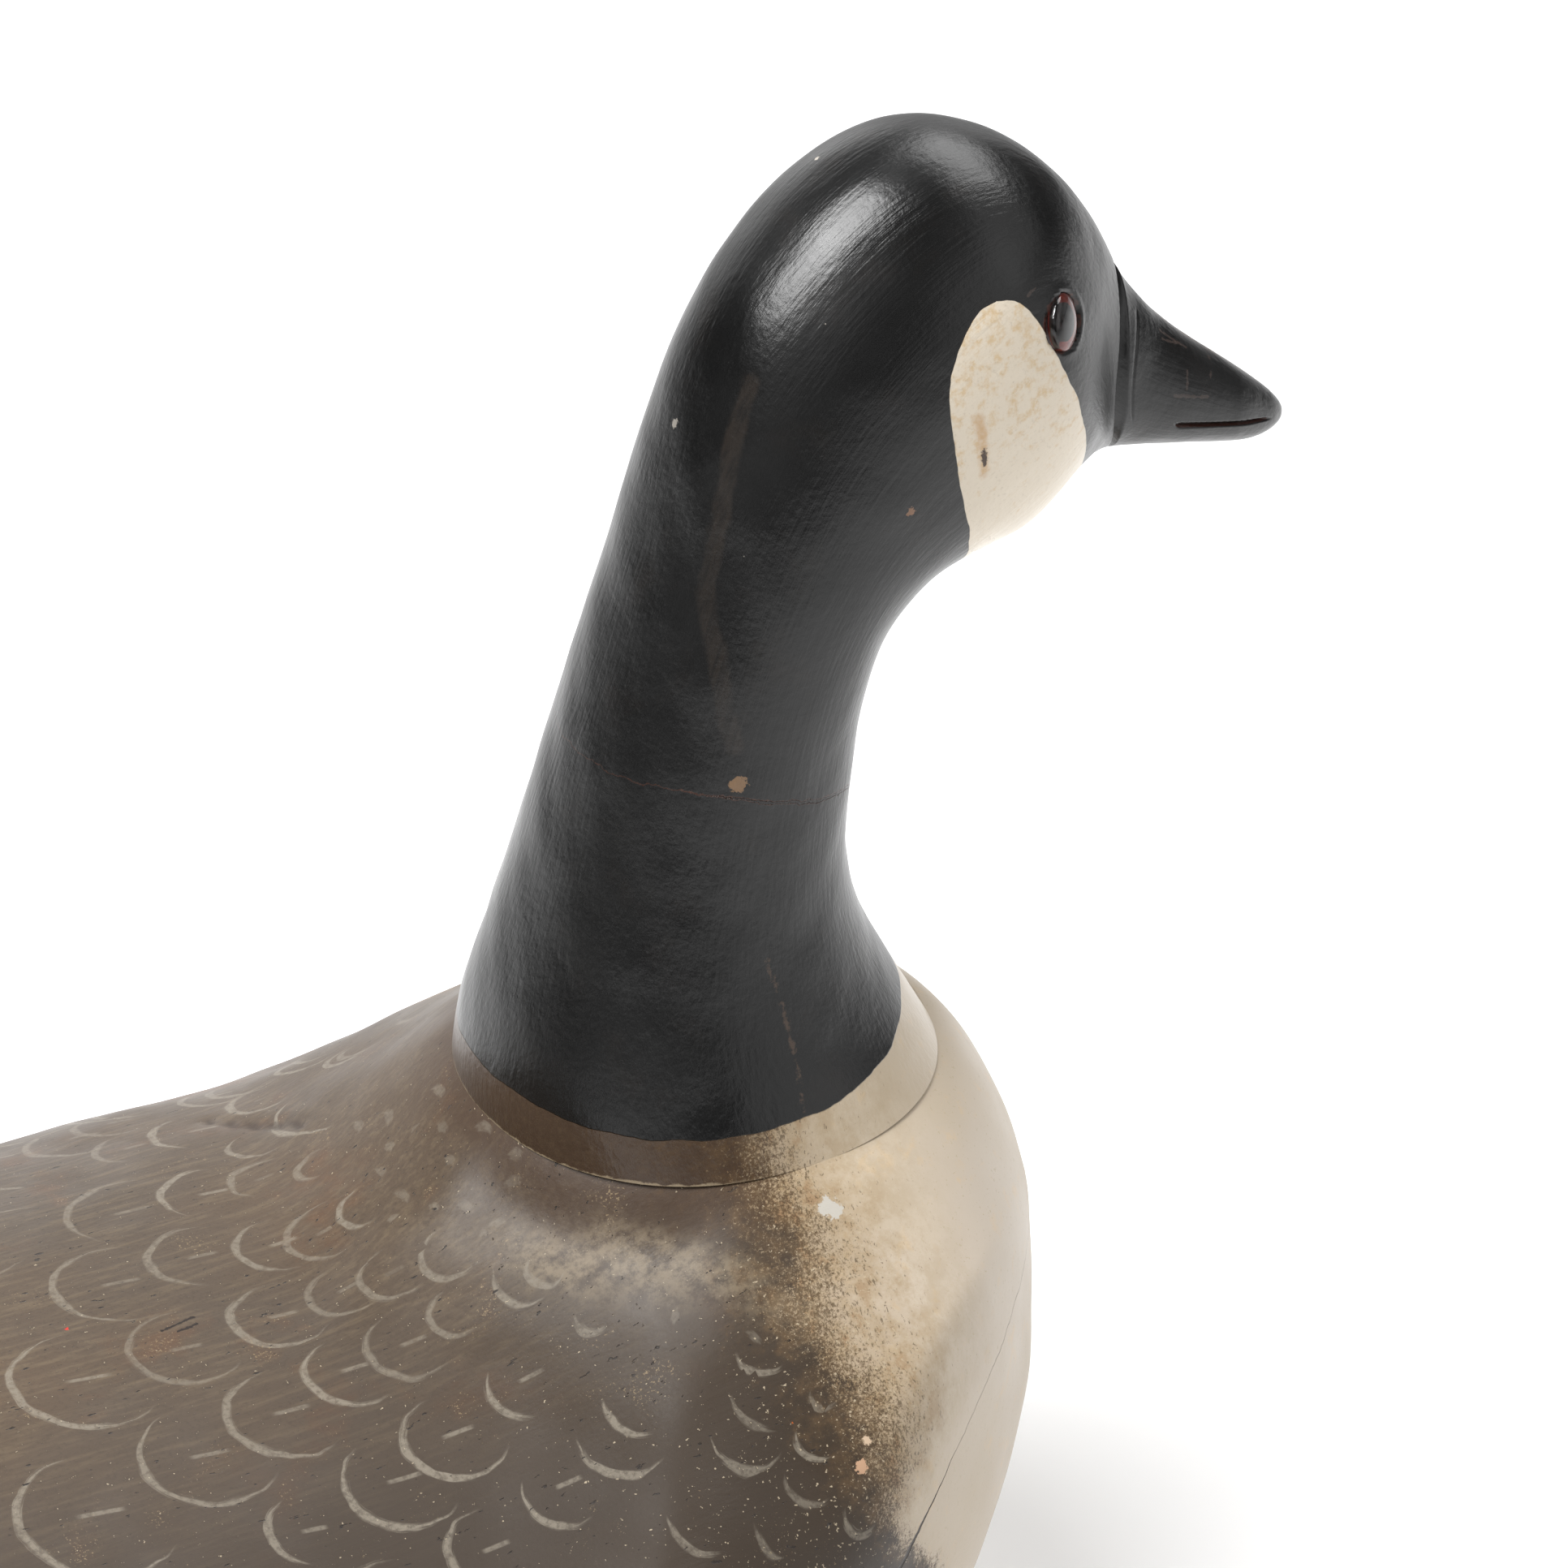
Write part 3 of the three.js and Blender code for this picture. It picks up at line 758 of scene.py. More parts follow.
def close_joint(points):
    """Lowers the neck's foot onto the seat, leaving a joint that opens and closes by a hair's breadth
    behind and is shut in front."""
    low, high = JOINT_OPEN
    opening = low + (high - low) * smooth_step(0.5 + 1.3 * waves(points * (1, 1, 0), 26, 21))
    shut_from, shut_at = JOINT_SHUT_X
    opening *= 1 - smooth_step((points[..., 0] - shut_from) / (shut_at - shut_from))
    near = 1 - smooth_step((points[..., 2] - GAP) / JOINT_FADE)
    return points - np.stack([0 * near, 0 * near, near * (GAP - opening)], -1)


def neck_relief(points, settings):
    """How far the skin of head and neck moves along its normals, in mm: uneven waves, less the depths of
    the eye sockets and of the mouth."""
    calm = smooth_step(points[..., 2] / 15)
    move = settings.unevenness * (0.65 * waves(points, 30, 5) + 0.35 * waves(points, 12, 6)) * calm
    for side in (-1, 1):
        away, height = from_axis(points, *eye_seat(side))
        inside = (away < 2 * SOCKET_RADIUS) & (np.abs(height) < EYE_REACH)
        worn = 0.12 * waves(points, 2.2, 7)
        wall = 1 - smooth_step((away + worn - SOCKET_RADIUS) / SOCKET_WALL + 0.5)
        lip = LIP_HEIGHT * bell(away - SOCKET_RADIUS - 0.9, 0.8)
        move = np.where(inside, move + lip - SOCKET_DEPTH * wall, move)
    return move - MOUTH_DEPTH * mouth_cut(points)


def bill_tip(turn):
    """Rings from the last station to the bill's tip, at s = sin(πi/2n) of the way: the middle keeps the
    bill's slope at first, and the section shrinks by (1 − narrowing · s) times a superellipse."""
    end = np.asarray(NECK_LINES[-1], float)
    s = np.sin(np.pi / 2 * np.arange(1, BILL_TIP_RINGS) / BILL_TIP_RINGS)[:, None]
    forward = (BILL_REACH - (end[0] + end[2]) / 2) * s
    drop = BILL_TIP_HEIGHT - (end[1] + end[3]) / 2
    drop = BILL_TIP_FALL * s + (drop - BILL_TIP_FALL) * s**2
    way = np.concatenate([forward, drop], 1)
    lines = np.concatenate([end[:2] + way, end[2:4] + way, end[4] + 0 * s, end[5] * (1 - s)], 1)
    return neck_points(lines, turn, (1 - BILL_TIP_NARROWING * s) * closing(s, BILL_TIP_POWER))


# Marks on the neck, from the seat's middle. These places, and those of the knife cut, the slits and the
# spots, were picked by eye in the photograph and laid on the skin by a scratch program.
DRIP_PATH = (
    (7, -12.2, 145.7),
    (2.1, -13.6, 133.3),
    (-1.6, -15.5, 120.6),
    (-4.9, -16.6, 109),
    (-5.3, -20.2, 99.3),
    (-5.2, -22.8, 90.6),
    (-4.2, -25.1, 81.3),
)
RUB_PATH = ((-1.5, -31.7, 38.7), (0.6, -34, 28.7), (1.5, -38.5, 14.7), (0.9, -40.8, 9.1))
# Knife scratches on the right of the bill, and a dent above the cheek patch.
BILL_SCRATCHES = (
    ((98.2, -6.6, 129.1), (104.5, -6.0, 123.7)),
    ((98.1, -7.6, 127.8), (102.1, -6.5, 125.4)),
    ((102.9, -9.1, 120.5), (102.1, -10.4, 117.6)),
    ((110.9, -4.5, 119.5), (108.9, -8.1, 117.1)),
    ((98.9, -11.0, 117.3), (107.2, -9.9, 114.3)),
    ((55.0, -26.7, 156.3), (57.1, -26.1, 157.0)),
)
# Slit in the right cheek patch, where the wood shows, and the stain round it.
PATCH_SLIT = ((44.9, -29.5, 129.6), (45.4, -29.3, 126.6))
PATCH_STAIN = ((43.2, -29.5, 136.5), (44.6, -29.5, 131.5), (45.4, -29.3, 124.5))


# Collar, the lower edge of the black paint: its height at the sides, and its rise in front and behind.
COLLAR_HEIGHT = 8
COLLAR_RISES = (7, 2.6)
# Cheek patch: its middle, how steeply it leans ahead under its bend, its half width, and the heights of its
# lower end, of the level where it starts to round off, of its bend and of its top.
PATCH_X = 48.8
PATCH_LEAN = 0.32
PATCH_HALF = 15.3
PATCH_LEVELS = (92, 113, 144, 157.2)
# Grain crack: height behind, and where and how steeply it starts to run down.
CRACK_HEIGHT = 73.6
CRACK_BEND_X = -12
CRACK_FALL = 0.34


def soft_ramp(value, reach):
    """0 below 0, the value itself above, and a soft bend of about the reach between."""
    return np.logaddexp(0, value / reach) * reach


def collar_height(points):
    """Height over the collar, which is lowest at the sides and highest in front."""
    ahead = points[:, 0] - SEAT_CENTRE
    c = ahead / np.maximum(np.hypot(ahead, points[:, 1]), 1e-6)
    in_front, behind = COLLAR_RISES
    return points[:, 2] - COLLAR_HEIGHT - in_front * np.clip(c, 0, 1) ** 1.8 - behind * np.clip(-c, 0, 1) ** 3


def cheek_distance(points):
    """Signed distance, in mm, into the cheek patch: an egg that stands on the chin, leaning forward."""
    x, _, z = points.T
    end, rounded, bend, top = PATCH_LEVELS
    middle = PATCH_X + PATCH_LEAN * soft_ramp(bend - np.maximum(z, 100), 2)
    half = PATCH_HALF * (1 - np.clip((z - rounded) / (top - rounded), 0, 1) ** 2.2) ** 0.5
    inside = np.minimum(0.95 * (half - np.abs(x - middle)), 0.9 * (top - 0.3 - z))
    return np.where(z > end, inside, -9)


def neck_crack(points):
    """Height over the grain crack half way up the neck; it runs down towards the front."""
    x, _, z = points.T
    return z - CRACK_HEIGHT + CRACK_FALL * soft_ramp(x - CRACK_BEND_X, 3)


def keep_foot_flat(mesh, sides):
    """Shades the neck's foot flat, with a sharp edge round it. Its faces are the first fan."""
    smooth = np.ones(len(mesh.polygons), bool)
    smooth[-2 * sides : -sides] = False
    mesh.polygons.foreach_set("use_smooth", smooth)
    ends = np.zeros(2 * len(mesh.edges), np.int32)
    mesh.edges.foreach_get("vertices", ends)
    round_foot = (ends.reshape(-1, 2) < sides).all(1)
    mesh.attributes.new("sharp_edge", "BOOLEAN", "EDGE").data.foreach_set("value", round_foot)


class DECOY_OT_head_and_neck(bpy.types.Operator):
    """Carves neck, head and bill as one block, with sockets, bill groove and mouth, and paints it"""

    bl_idname = "decoy.head_and_neck"
    bl_label = "Head and neck"

    def execute(self, context):
        settings = context.scene.decoy_neck
        places = [(EYE_STATION, 0.3, 1.6), (GROOVE_START, 0.2, 3.0), (SCORE_STATION, 0.06, 2.0)]
        stations = crowded(settings.rings, 0, LAST_STATION, places)
        eye, mouth = np.radians((EYE_ANGLE, MOUTH_ANGLE))
        places = [(eye, 0.3, 0.9), (2 * np.pi - eye, 0.3, 0.9)]
        places += [(mouth, 0.12, 1.4), (2 * np.pi - mouth, 0.12, 1.4)]
        turn = crowded(settings.sides, 0, 2 * np.pi, places)[:-1]
        groove = groove_inset(stations, turn)
        points = np.concatenate([neck_points(neck_lines(stations), turn, 1.0, groove), bill_tip(turn)])
        relief = grid_normals(points) * neck_relief(points, settings)[..., None]
        slit = mouth_cut(points)
        points = close_joint(points + relief)
        poles = ((SEAT_CENTRE, 0, JOINT_OPEN[0]), (BILL_REACH, 0, GAP + BILL_TIP_HEIGHT))
        mesh = grid_mesh("head_and_neck_painted", points, *poles)
        keep_foot_flat(mesh, settings.sides)
        write_neck_fields(mesh, points, turn)
        tip = np.zeros((BILL_TIP_RINGS - 1) * settings.sides + 2)
        write_fields(mesh, {"mouth_cut": np.append(slit, [0, 0]), "groove_depth": np.append(groove, tip)})
        material = neck_paint(settings, context.scene.decoy_body)
        finished("head_and_neck_painted", mesh, material, ["head_and_neck"])
        return {"FINISHED"}


def write_neck_fields(mesh, points, turn):
    """Stores the way along and round the neck, for the brush marks, how far each vertex lies on the bill's
    ridge, and its distances from the collar, the cheek patch, the crack and the other marks."""
    middle = points.mean(1)
    step = np.linalg.norm(np.diff(middle, axis=0), axis=-1)
    along = np.concatenate([[0], np.cumsum(step)])
    around = points - middle[:, None]
    front = np.linalg.norm(around, axis=-1) * np.cos(turn)
    brushing = np.stack([np.broadcast_to(along[:, None], front.shape), around[..., 1], front], -1)
    brushing = np.concatenate([brushing.reshape(-1, 3), [[0, 0, 0], [along[-1], 0, 0]]])
    write_fields(mesh, {"brushing": brushing}, "FLOAT_VECTOR")
    ridge = bell(np.degrees(turn) - 180, 24) * smooth_step((points[..., 0] - 88) / 10)
    vertices = read_vertices(mesh)
    drip = spline_rows(range(len(DRIP_PATH)), DRIP_PATH)(np.linspace(0, len(DRIP_PATH) - 1, 31))
    paths = {"drip_distance": drip, "rub_distance": RUB_PATH, "stain_distance": PATCH_STAIN}
    rim = np.full(len(vertices), FAR)
    for side in (-1, 1):
        centre, out = eye_seat(side)
        away, height = from_axis(vertices, centre, out)
        away -= 0.9 * np.clip((centre[0] - vertices[:, 0]) / SOCKET_RADIUS, 0, 1)
        rim = np.where(np.abs(height) < EYE_REACH, np.minimum(rim, away), rim)
    fields = {
        "bill_ridge": np.append(ridge, [0, 1]),
        "collar_height": collar_height(vertices),
        "cheek_distance": cheek_distance(vertices),
        "neck_crack": neck_crack(vertices),
        "breast_edge": breast_edge(vertices),
        "eye_distance": rim,
    }
    write_fields(mesh, fields | {name: path_distance(vertices, path)[0] for name, path in paths.items()})


def turned_on(profile, sides, centre, out):
    """Lathe surface: each (radius, height) of the profile turned about the axis out through the centre."""
    profile = np.asarray(profile, float)
    first = np.cross(out, (0, 0, 1.0))
    first /= np.linalg.norm(first)
    second = np.cross(out, first)
    angle = 2 * np.pi * np.arange(sides) / sides
    ring = np.cos(angle)[:, None] * first + np.sin(angle)[:, None] * second
    return centre + profile[1:-1, :1, None] * ring + profile[1:-1, 1:, None] * out


def lens_profile():
    """Glass lens from its back's middle to the top of its dome: a flat back, a low wall, an elliptic dome."""
    back = [(share * EYE_RADIUS, EYE_BACK) for share in (0, 0.5, 0.97)]
    turns = np.linspace(0, np.pi / 2, 22)[:-1]
    dome = [(EYE_RADIUS * np.cos(t), EYE_RIM + EYE_DOME * np.sin(t)) for t in turns]
    return [*back, (EYE_RADIUS, EYE_BACK + 0.15), *dome, (0, EYE_RIM + EYE_DOME)]


def iris_profile():
    """Painted back of the eye: a plug whose face lies against the inside of the glass."""
    radius, level = EYE_RADIUS * 0.985, EYE_BACK + 0.12
    face = [(radius * (1 - i / 14), level) for i in range(15)]
    return [(0, EYE_FLOOR), (radius, EYE_FLOOR), *face]


def outward(mesh):
    """Turns the faces of a closed mesh outwards."""
    work = bmesh.new()
    work.from_mesh(mesh)
    bmesh.ops.recalc_face_normals(work, faces=work.faces)
    work.to_mesh(mesh)
    work.free()


class DECOY_OT_eyes(bpy.types.Operator):
    """Sets the glass eyes: a clear lens over a painted iris on each side"""

    bl_idname = "decoy.eyes"
    bl_label = "Glass eyes"

    def execute(self, context):
        iris = iris_paint(context.scene.decoy_eyes)
        parts = (("glass", lens_profile(), eye_glass()), ("iris", iris_profile(), iris))
        for name, side in (("eye_right", -1), ("eye_left", 1)):
            centre, out = eye_seat(side)
            for part, profile, material in parts:
                points = turned_on(profile, 56, centre, out)
                start, end = (centre + profile[k][1] * out for k in (0, -1))
                mesh = grid_mesh(f"{name}_{part}", points, start, end)
                away, _ = from_axis(read_vertices(mesh), centre, out)
                write_fields(mesh, {"eye_radius": away / EYE_RADIUS})
                outward(mesh)
                finished(f"{name}_{part}", mesh, material, [name])
        return {"FINISHED"}


# Marks of the paint, in mm: where the cream under the tail and the black of the tail begin, the soft edge
# of a spot and the waver of a stroke; and, in degrees from the tail towards the right, the way in which the
# band of dust and painted highlight behind the seat lies.
VENT_X = -350
VENT_HEIGHT = -83
TAIL_BLACK_X = -464
DUST_AND_HIGHLIGHT_WAY = FLAT_WAY + 6
SPOT_EDGE = 0.24
STROKE_WAVER = 1.6
# Painted and worn spots on the body, from the seat's middle: place, radius and colour.
BODY_SPOTS = (
    ((0, -51.5, -5.5), 2.0, "#aaa59c"),
    ((-14.2, -86, -36.2), 1.2, "#a8876c"),
    ((-11.5, -83.5, -33.5), 0.8, "#b09a82"),
    ((-23.2, -76.4, -29.3), 0.5, "#a8541f"),
    ((-128.2, 5.6, -20.2), 0.45, "#b3261c"),
)
# Worn spots on neck and head, and a pale flake of paint at the joint: place, radius and colour.
NECK_SPOTS = (
    ((-4.1, -26.3, 73.6), 1.5, "#745a40"),
    ((-1, 0.6, 133.9), 0.8, "#77726b"),
    ((32.2, 7, 174.7), 0.5, "#958e83"),
    ((30.1, -28.8, 121.1), 0.8, "#7b5a42"),
    ((-1.3, -15.6, 127), 0.5, "#8f887e"),
)
JOINT_FLAKE = ((-42.2, -3.9, 1.4), 1.2, "#d8cdbb")
# Fields that the neck's paint reads, in the order in which it names them.
NECK_FIELDS = (
    "drip_distance",
    "rub_distance",
    "eye_distance",
    "cheek_distance",
    "stain_distance",
    "bill_ridge",
    "mouth_cut",
    "groove_depth",
    "collar_height",
    "neck_crack",
)
# Shader nodes: all outputs of a node, and the settings of a Map Range node that make it a smooth step.
ALL = slice(None)
SOFT = {"interpolation_type": "SMOOTHSTEP"}


def node(tree, kind, *values, output=0, named=None, **settings):
    """Adds one shader node, fills its inputs with values or links, and returns one of its outputs, or a
    slice of them. The kind may bring its operation after a dot, such as Math.ADD."""
    kind, _, operation = kind.partition(".")
    made = tree.nodes.new("ShaderNode" + kind)
    if operation:
        made.operation = operation
    for name, value in settings.items():
        setattr(made, name, value)
    for key, value in [*enumerate(values), *(named or {}).items()]:
        if isinstance(value, bpy.types.NodeSocket):
            tree.links.new(value, made.inputs[key])
        else:
            made.inputs[key].default_value = value
    return made.outputs[output]


def new_material(name):
    """Empty material with a shader tree; returns both."""
    material = bpy.data.materials.new(name)
    material.use_nodes = True
    material.node_tree.nodes.clear()
    return material, material.node_tree


def object_place(tree):
    """Object coordinates in millimetres from the seat's middle."""
    place = node(tree, "TexCoord", output=3)
    place = node(tree, "VectorMath.SCALE", place, named={3: 1 / MM})
    return node(tree, "VectorMath.SUBTRACT", place, tuple(SEAT))


def blotches(tree, place, size, detail=2.0, rough=0.5, stretch=(1, 1, 1)):
    """Noise from 0 to 1 with spots of about one size in mm."""
    place = node(tree, "VectorMath.MULTIPLY", place, stretch)
    return node(tree, "TexNoise", place, named={"Scale": 1 / size, "Detail": detail, "Roughness": rough})


def ragged(tree, value, swing, place, *noise):
    """A value raised by up to a swing of noise, which blotches makes from its size and so on."""
    return node(tree, "Math.MULTIPLY_ADD", blotches(tree, place, *noise), swing, value)


def within(tree, share, *bounds):
    """A share times a smooth step of each value, given with its steps: where it starts and ends, and the
    results there if they aren't 0 and 1. A value without steps is a share itself."""
    for value, *steps in bounds:
        step = node(tree, "MapRange", value, *steps, **SOFT) if steps else value
        share = node(tree, "Math.MULTIPLY", share, step)
    return share


def layered(tree, paint, *layers):
    """Lays paints over the first one. A layer is a paint and the share it covers, or a paint, a value and
    the steps that turn the value to a share, as for within."""
    for above, cover, *steps in layers:
        cover = node(tree, "MapRange", cover, *steps, **SOFT) if steps else cover
        above = linear(above) if isinstance(above, str) else above
        paint = node(tree, "Mix", cover, named={6: paint, 7: above}, output=2, data_type="RGBA")
    return paint


def spot(tree, place, centre, radius, torn=0.5):
    """1 inside a torn spot round a point, 0 outside."""
    offset = node(tree, "VectorMath.SUBTRACT", place, centre)
    away = node(tree, "VectorMath.LENGTH", offset, output=1)
    away = ragged(tree, away, 4 * torn * radius, place, 1.2 * radius, 5.0, 0.72)
    inner = radius * (1 + 2 * torn) - SPOT_EDGE / 2
    return node(tree, "MapRange", away, inner, inner + SPOT_EDGE, 1.0, 0.0, **SOFT)


def scored(tree, place, start, end, half):
    """1 within a half width of the straight line between two points, wavering and tapered, 0 outside:
    the distance from start + way · (offset · way / way²), held between the line's ends."""
    way = np.subtract(end, start)
    offset = node(tree, "VectorMath.SUBTRACT", place, start)
    share = node(tree, "VectorMath.DOT_PRODUCT", offset, tuple(way / (way @ way)), output=1)
    held = node(tree, "MapRange", share, 0.0, 1.0, 0.0, 1.0)
    nearest = node(tree, "VectorMath.SCALE", tuple(way), named={3: held})
    away = node(tree, "VectorMath.DISTANCE", offset, nearest, output=1)
    away = ragged(tree, away, 4 * half, place, 1.2, 3.0, 0.6)
    return node(tree, "MapRange", away, 2.6 * half, 3.3 * half, 1.0, 0.0, **SOFT)


def hairline(tree, off, half, swing, place, *noise):
    """How far inside a fine line a point lies, from its distance off the line, the line's half width and
    the swing of its wavering."""
    off = node(tree, "Math.SUBTRACT", ragged(tree, off, swing, place, *noise), swing / 2)
    return node(tree, "Math.SUBTRACT", half, node(tree, "Math.ABSOLUTE", off))


def specks(tree, place, spacing, radius, share):
    """1 inside small round specks strewn about one to a cell, in a share of the cells."""
    away, cell = node(tree, "TexVoronoi", named={"Vector": place, "Scale": 1 / spacing}, output=slice(2))
    chosen = node(tree, "Math.LESS_THAN", node(tree, "SeparateColor", cell), share)
    return within(tree, chosen, (away, 0.7 * radius / spacing, radius / spacing, 1.0, 0.0))


def feather_stroke(tree, which, place):
    """1 where a feather's curved stroke or its short quill dash is painted. The stroke runs round the
    feather's centre at its radius, is widest in the middle of its reach, and splits into brush hairs."""
    names = (f"{which}_feather_place", f"{which}_feather_reach")
    frame_at, reaches = (node(tree, "Attribute", output=1, attribute_name=name) for name in names)
    x, y, radius = node(tree, "SeparateXYZ", frame_at, output=ALL)
    left, right, strength = node(tree, "SeparateXYZ", reaches, output=ALL)
    away = node(tree, "VectorMath.LENGTH", node(tree, "VectorMath.MULTIPLY", frame_at, (1, 1, 0)), output=1)
    off = node(tree, "Math.SUBTRACT", away, radius)
    off = node(tree, "Math.SUBTRACT", ragged(tree, off, STROKE_WAVER, place, 5.0, 1.0), STROKE_WAVER / 2)
    angle = node(tree, "Math.ARCTAN2", y, node(tree, "Math.MULTIPLY", x, -1.0))
    run = node(tree, "Math.MULTIPLY", node(tree, "Math.MULTIPLY", angle, radius), 0.12)
    hairs = node(tree, "CombineXYZ", run, node(tree, "Math.MULTIPLY", off, 2.4), radius)
    hairs = node(tree, "TexNoise", hairs, named={"Scale": 1.0, "Detail": 3.0, "Roughness": 0.6})
    ends = (node(tree, "Math.SUBTRACT", left, angle), node(tree, "Math.ADD", right, angle))
    share = node(tree, "Math.MINIMUM", *ends)
    share = node(tree, "Math.DIVIDE", share, node(tree, "Math.ADD", left, right))
    width = node(tree, "MapRange", share, 0.0, 0.42, 0.14, 0.88, **SOFT)
    width = within(tree, width, (radius, 3.0, 11.0, 0.9, 1.0))
    line = node(tree, "Math.SUBTRACT", width, node(tree, "Math.ABSOLUTE", off))
    line = node(tree, "Math.MULTIPLY_ADD", node(tree, "Math.SUBTRACT", hairs, 0.5), 1.7, line)
    line = node(tree, "MapRange", line, -0.2, 0.45, **SOFT)
    arc = within(tree, line, (share, 0.0, 0.12))
    across = node(tree, "Math.ABSOLUTE", node(tree, "Math.MULTIPLY_ADD", x, 0.12, y))
    length = node(tree, "Math.ABSOLUTE", node(tree, "Math.DIVIDE", x, radius))
    behind = node(tree, "Attribute", output=2, attribute_name="skin_x")
    dash = node(tree, "MapRange", across, 0.3, 0.65, 1.0, 0.0, **SOFT)
    dash = within(tree, dash, (length, 0.2, 0.34, 1.0, 0.0), (radius, 6.0, 7.0))
    dash = within(tree, dash, (behind, -62.0, -56.0, 0.8, 0.0))
    return node(tree, "Math.MULTIPLY", node(tree, "Math.MAXIMUM", arc, dash), strength)


def mound_dust_and_highlight(tree, place, flat, beyond, worn):
    """Share of pale paint on the flat behind the seat's right side, partly dust and partly a painted
    highlight
    where the flat catches the light: a band across the way the flat faces, fading away from the seat and
    towards the left, broken by scuffs."""
    c, s = np.cos(np.radians(DUST_AND_HIGHLIGHT_WAY)), np.sin(np.radians(DUST_AND_HIGHLIGHT_WAY))
    ways = ((-c, -s, 0), (s, -c, 0))
    faced, across = (node(tree, "VectorMath.DOT_PRODUCT", flat, way, output=1) for way in ways)
    faced = node(tree, "Math.MULTIPLY_ADD", worn, 10.0, faced)
    dust = node(tree, "MapRange", faced, SEAT_RADIUS + 8, SEAT_RADIUS + 13, **SOFT)
    scuffs = blotches(tree, place, 3.0, 6.0, 0.75)
    return within(
        tree,
        dust,
        (faced, SEAT_RADIUS + 14, SEAT_RADIUS + 23, 1.0, 0.0),
        (beyond, 16.0, 30.0, 1.0, 0.0),
        (across, -26.0, -10.0, 0.2, 1.0),
        (scuffs, 0.36, 0.62, 0.0, 0.45),
    )


def field_paint(tree, place, settings, neck_band):
    """Colour and relief in mm of the body's paint, and the share that is brown: brown and cream, with the
    stained and stippled line between, and painted shade that darkens the brown round the neck's seat and
    towards the right flank. The band on the neck's foot has no dust and no painted highlight."""
    _, y, z = node(tree, "SeparateXYZ", place, output=ALL)
    low = node(tree, "MapRange", z, -62.0, -36.0, 1.0, 0.0, **SOFT)
    broad = blotches(tree, place, 60, 3.0)
    streaks = blotches(tree, place, 1.0, 3.0, 0.6, (0.07, 0.75, 0.75))
    tooth = blotches(tree, place, 0.9, 4.0, 0.65)
    worn = blotches(tree, place, 26, 5.0, 0.65)
    flat = node(tree, "VectorMath.SUBTRACT", place, (SEAT_CENTRE, 0, 0))
    flat = node(tree, "VectorMath.MULTIPLY", flat, (1, 1, 0))
    beyond = node(tree, "VectorMath.LENGTH", flat, output=1)
    beyond = node(tree, "Math.MULTIPLY_ADD", worn, 12.0, beyond)
    beyond = node(tree, "Math.SUBTRACT", beyond, SEAT_RADIUS + 6)
    brown = layered(
        tree,
        settings.back,
        ("#4b3d2f", broad, 0.35, 0.65),
        ("#645643", streaks, 0.42, 0.75, 0.0, 0.5),
        ("#2b221a", tooth, 0.48, 0.74, 0.0, 0.45),
        ("#573a24", worn, 0.54, 0.72, 0.0, 0.5),
        # painted shade: the brown darkens towards the right flank
        ("#31271d", y, -80.0, -4.0, 0.95, 0.0),
        # painted shade: darker brown in the crease round the neck's seat, on the body and on the neck's foot
        ("#382618", beyond, 1.0, 11.0, 0.6, 0.0),
    )
    if not neck_band:
        # pale band of dust and painted highlight on the flat behind the seat's right side
        brown = layered(tree, brown, ("#8f8069", mound_dust_and_highlight(tree, place, flat, beyond, worn)))
    wander, clumps, grit = (
        node(tree, "Math.SUBTRACT", blotches(tree, place, *noise), 0.5)
        for noise in ((24, 2.0), (4, 4.0, 0.65), (0.6, 5.0, 0.85))
    )
    edge = node(tree, "Attribute", output=2, attribute_name="breast_edge")
    edge = node(tree, "Math.MULTIPLY_ADD", wander, 18.0, edge)
    edge = node(tree, "Math.MULTIPLY_ADD", clumps, 12.0, edge)
    edge = node(tree, "Math.MULTIPLY", edge, node(tree, "Math.MULTIPLY_ADD", low, 2.0, 1.0))
    over = node(tree, "Math.MULTIPLY_ADD", grit, 64.0, edge)
    over = node(tree, "MapRange", over, -7.0, 6.0, 1.0, 0.0, **SOFT)
    thin = node(tree, "Math.MULTIPLY_ADD", clumps, 40.0, edge)
    brown = layered(tree, brown, ("#5e4930", thin, -18.0, 6.0, 0.0, 0.6))
    fleck = blotches(tree, place, 5.5, 4.0, 0.6)
    stain = blotches(tree, place, 6, 7.0, 0.78, (1.0, 1.0, 0.6))
    near = node(tree, "Math.MULTIPLY_ADD", low, -0.85, 1.0)
    near = within(tree, near, (edge, 6.0, 44.0, 1.0, 0.0))
    close = within(tree, near, (edge, -4.0, 24.0, 1.0, 0.0))
    ticks = blotches(tree, place, 0.9, 3.0, 0.7, (1.6, 0.8, 0.6))
    ticks = node(tree, "Math.MULTIPLY_ADD", close, 0.13, ticks)
    cream = layered(
        tree,
        settings.breast,
        ("#b1a38f", broad, 0.35, 0.65),
        ("#c4a983", fleck, 0.56, 0.74, 0.0, 0.45),
        ("#978465", within(tree, near, (stain, 0.38, 0.62, 0.216, 0.72))),
        ("#857050", node(tree, "Math.MULTIPLY", close, 0.62)),
        ("#7f5d40", within(tree, close, (stain, 0.52, 0.64, 0.0, 0.6))),
        ("#4f412e", within(tree, near, (ticks, 0.66, 0.71, 0.0, 0.75))),
    )
    height = node(tree, "Math.MULTIPLY", streaks, 0.05)
    height = node(tree, "Math.MULTIPLY_ADD", tooth, 0.035, height)
    return layered(tree, cream, (brown, over)), height, over


def finish_paint(tree, colour, roughness, height, gloss, dust):
    """Oil paint over wood: a dielectric with a satin gloss, broken by brush marks, and the soft bloom that
    dust gives it at a grazing view."""
    bump = node(tree, "Bump", named={"Strength": 1.0, "Distance": MM, "Height": height})
    named = {"Base Color": colour, "Roughness": roughness, "Normal": bump, "IOR": 1.48}
    named |= {"Specular IOR Level": gloss, "Sheen Weight": dust}
    node(tree, "OutputMaterial", node(tree, "BsdfPrincipled", named=named), output=ALL)


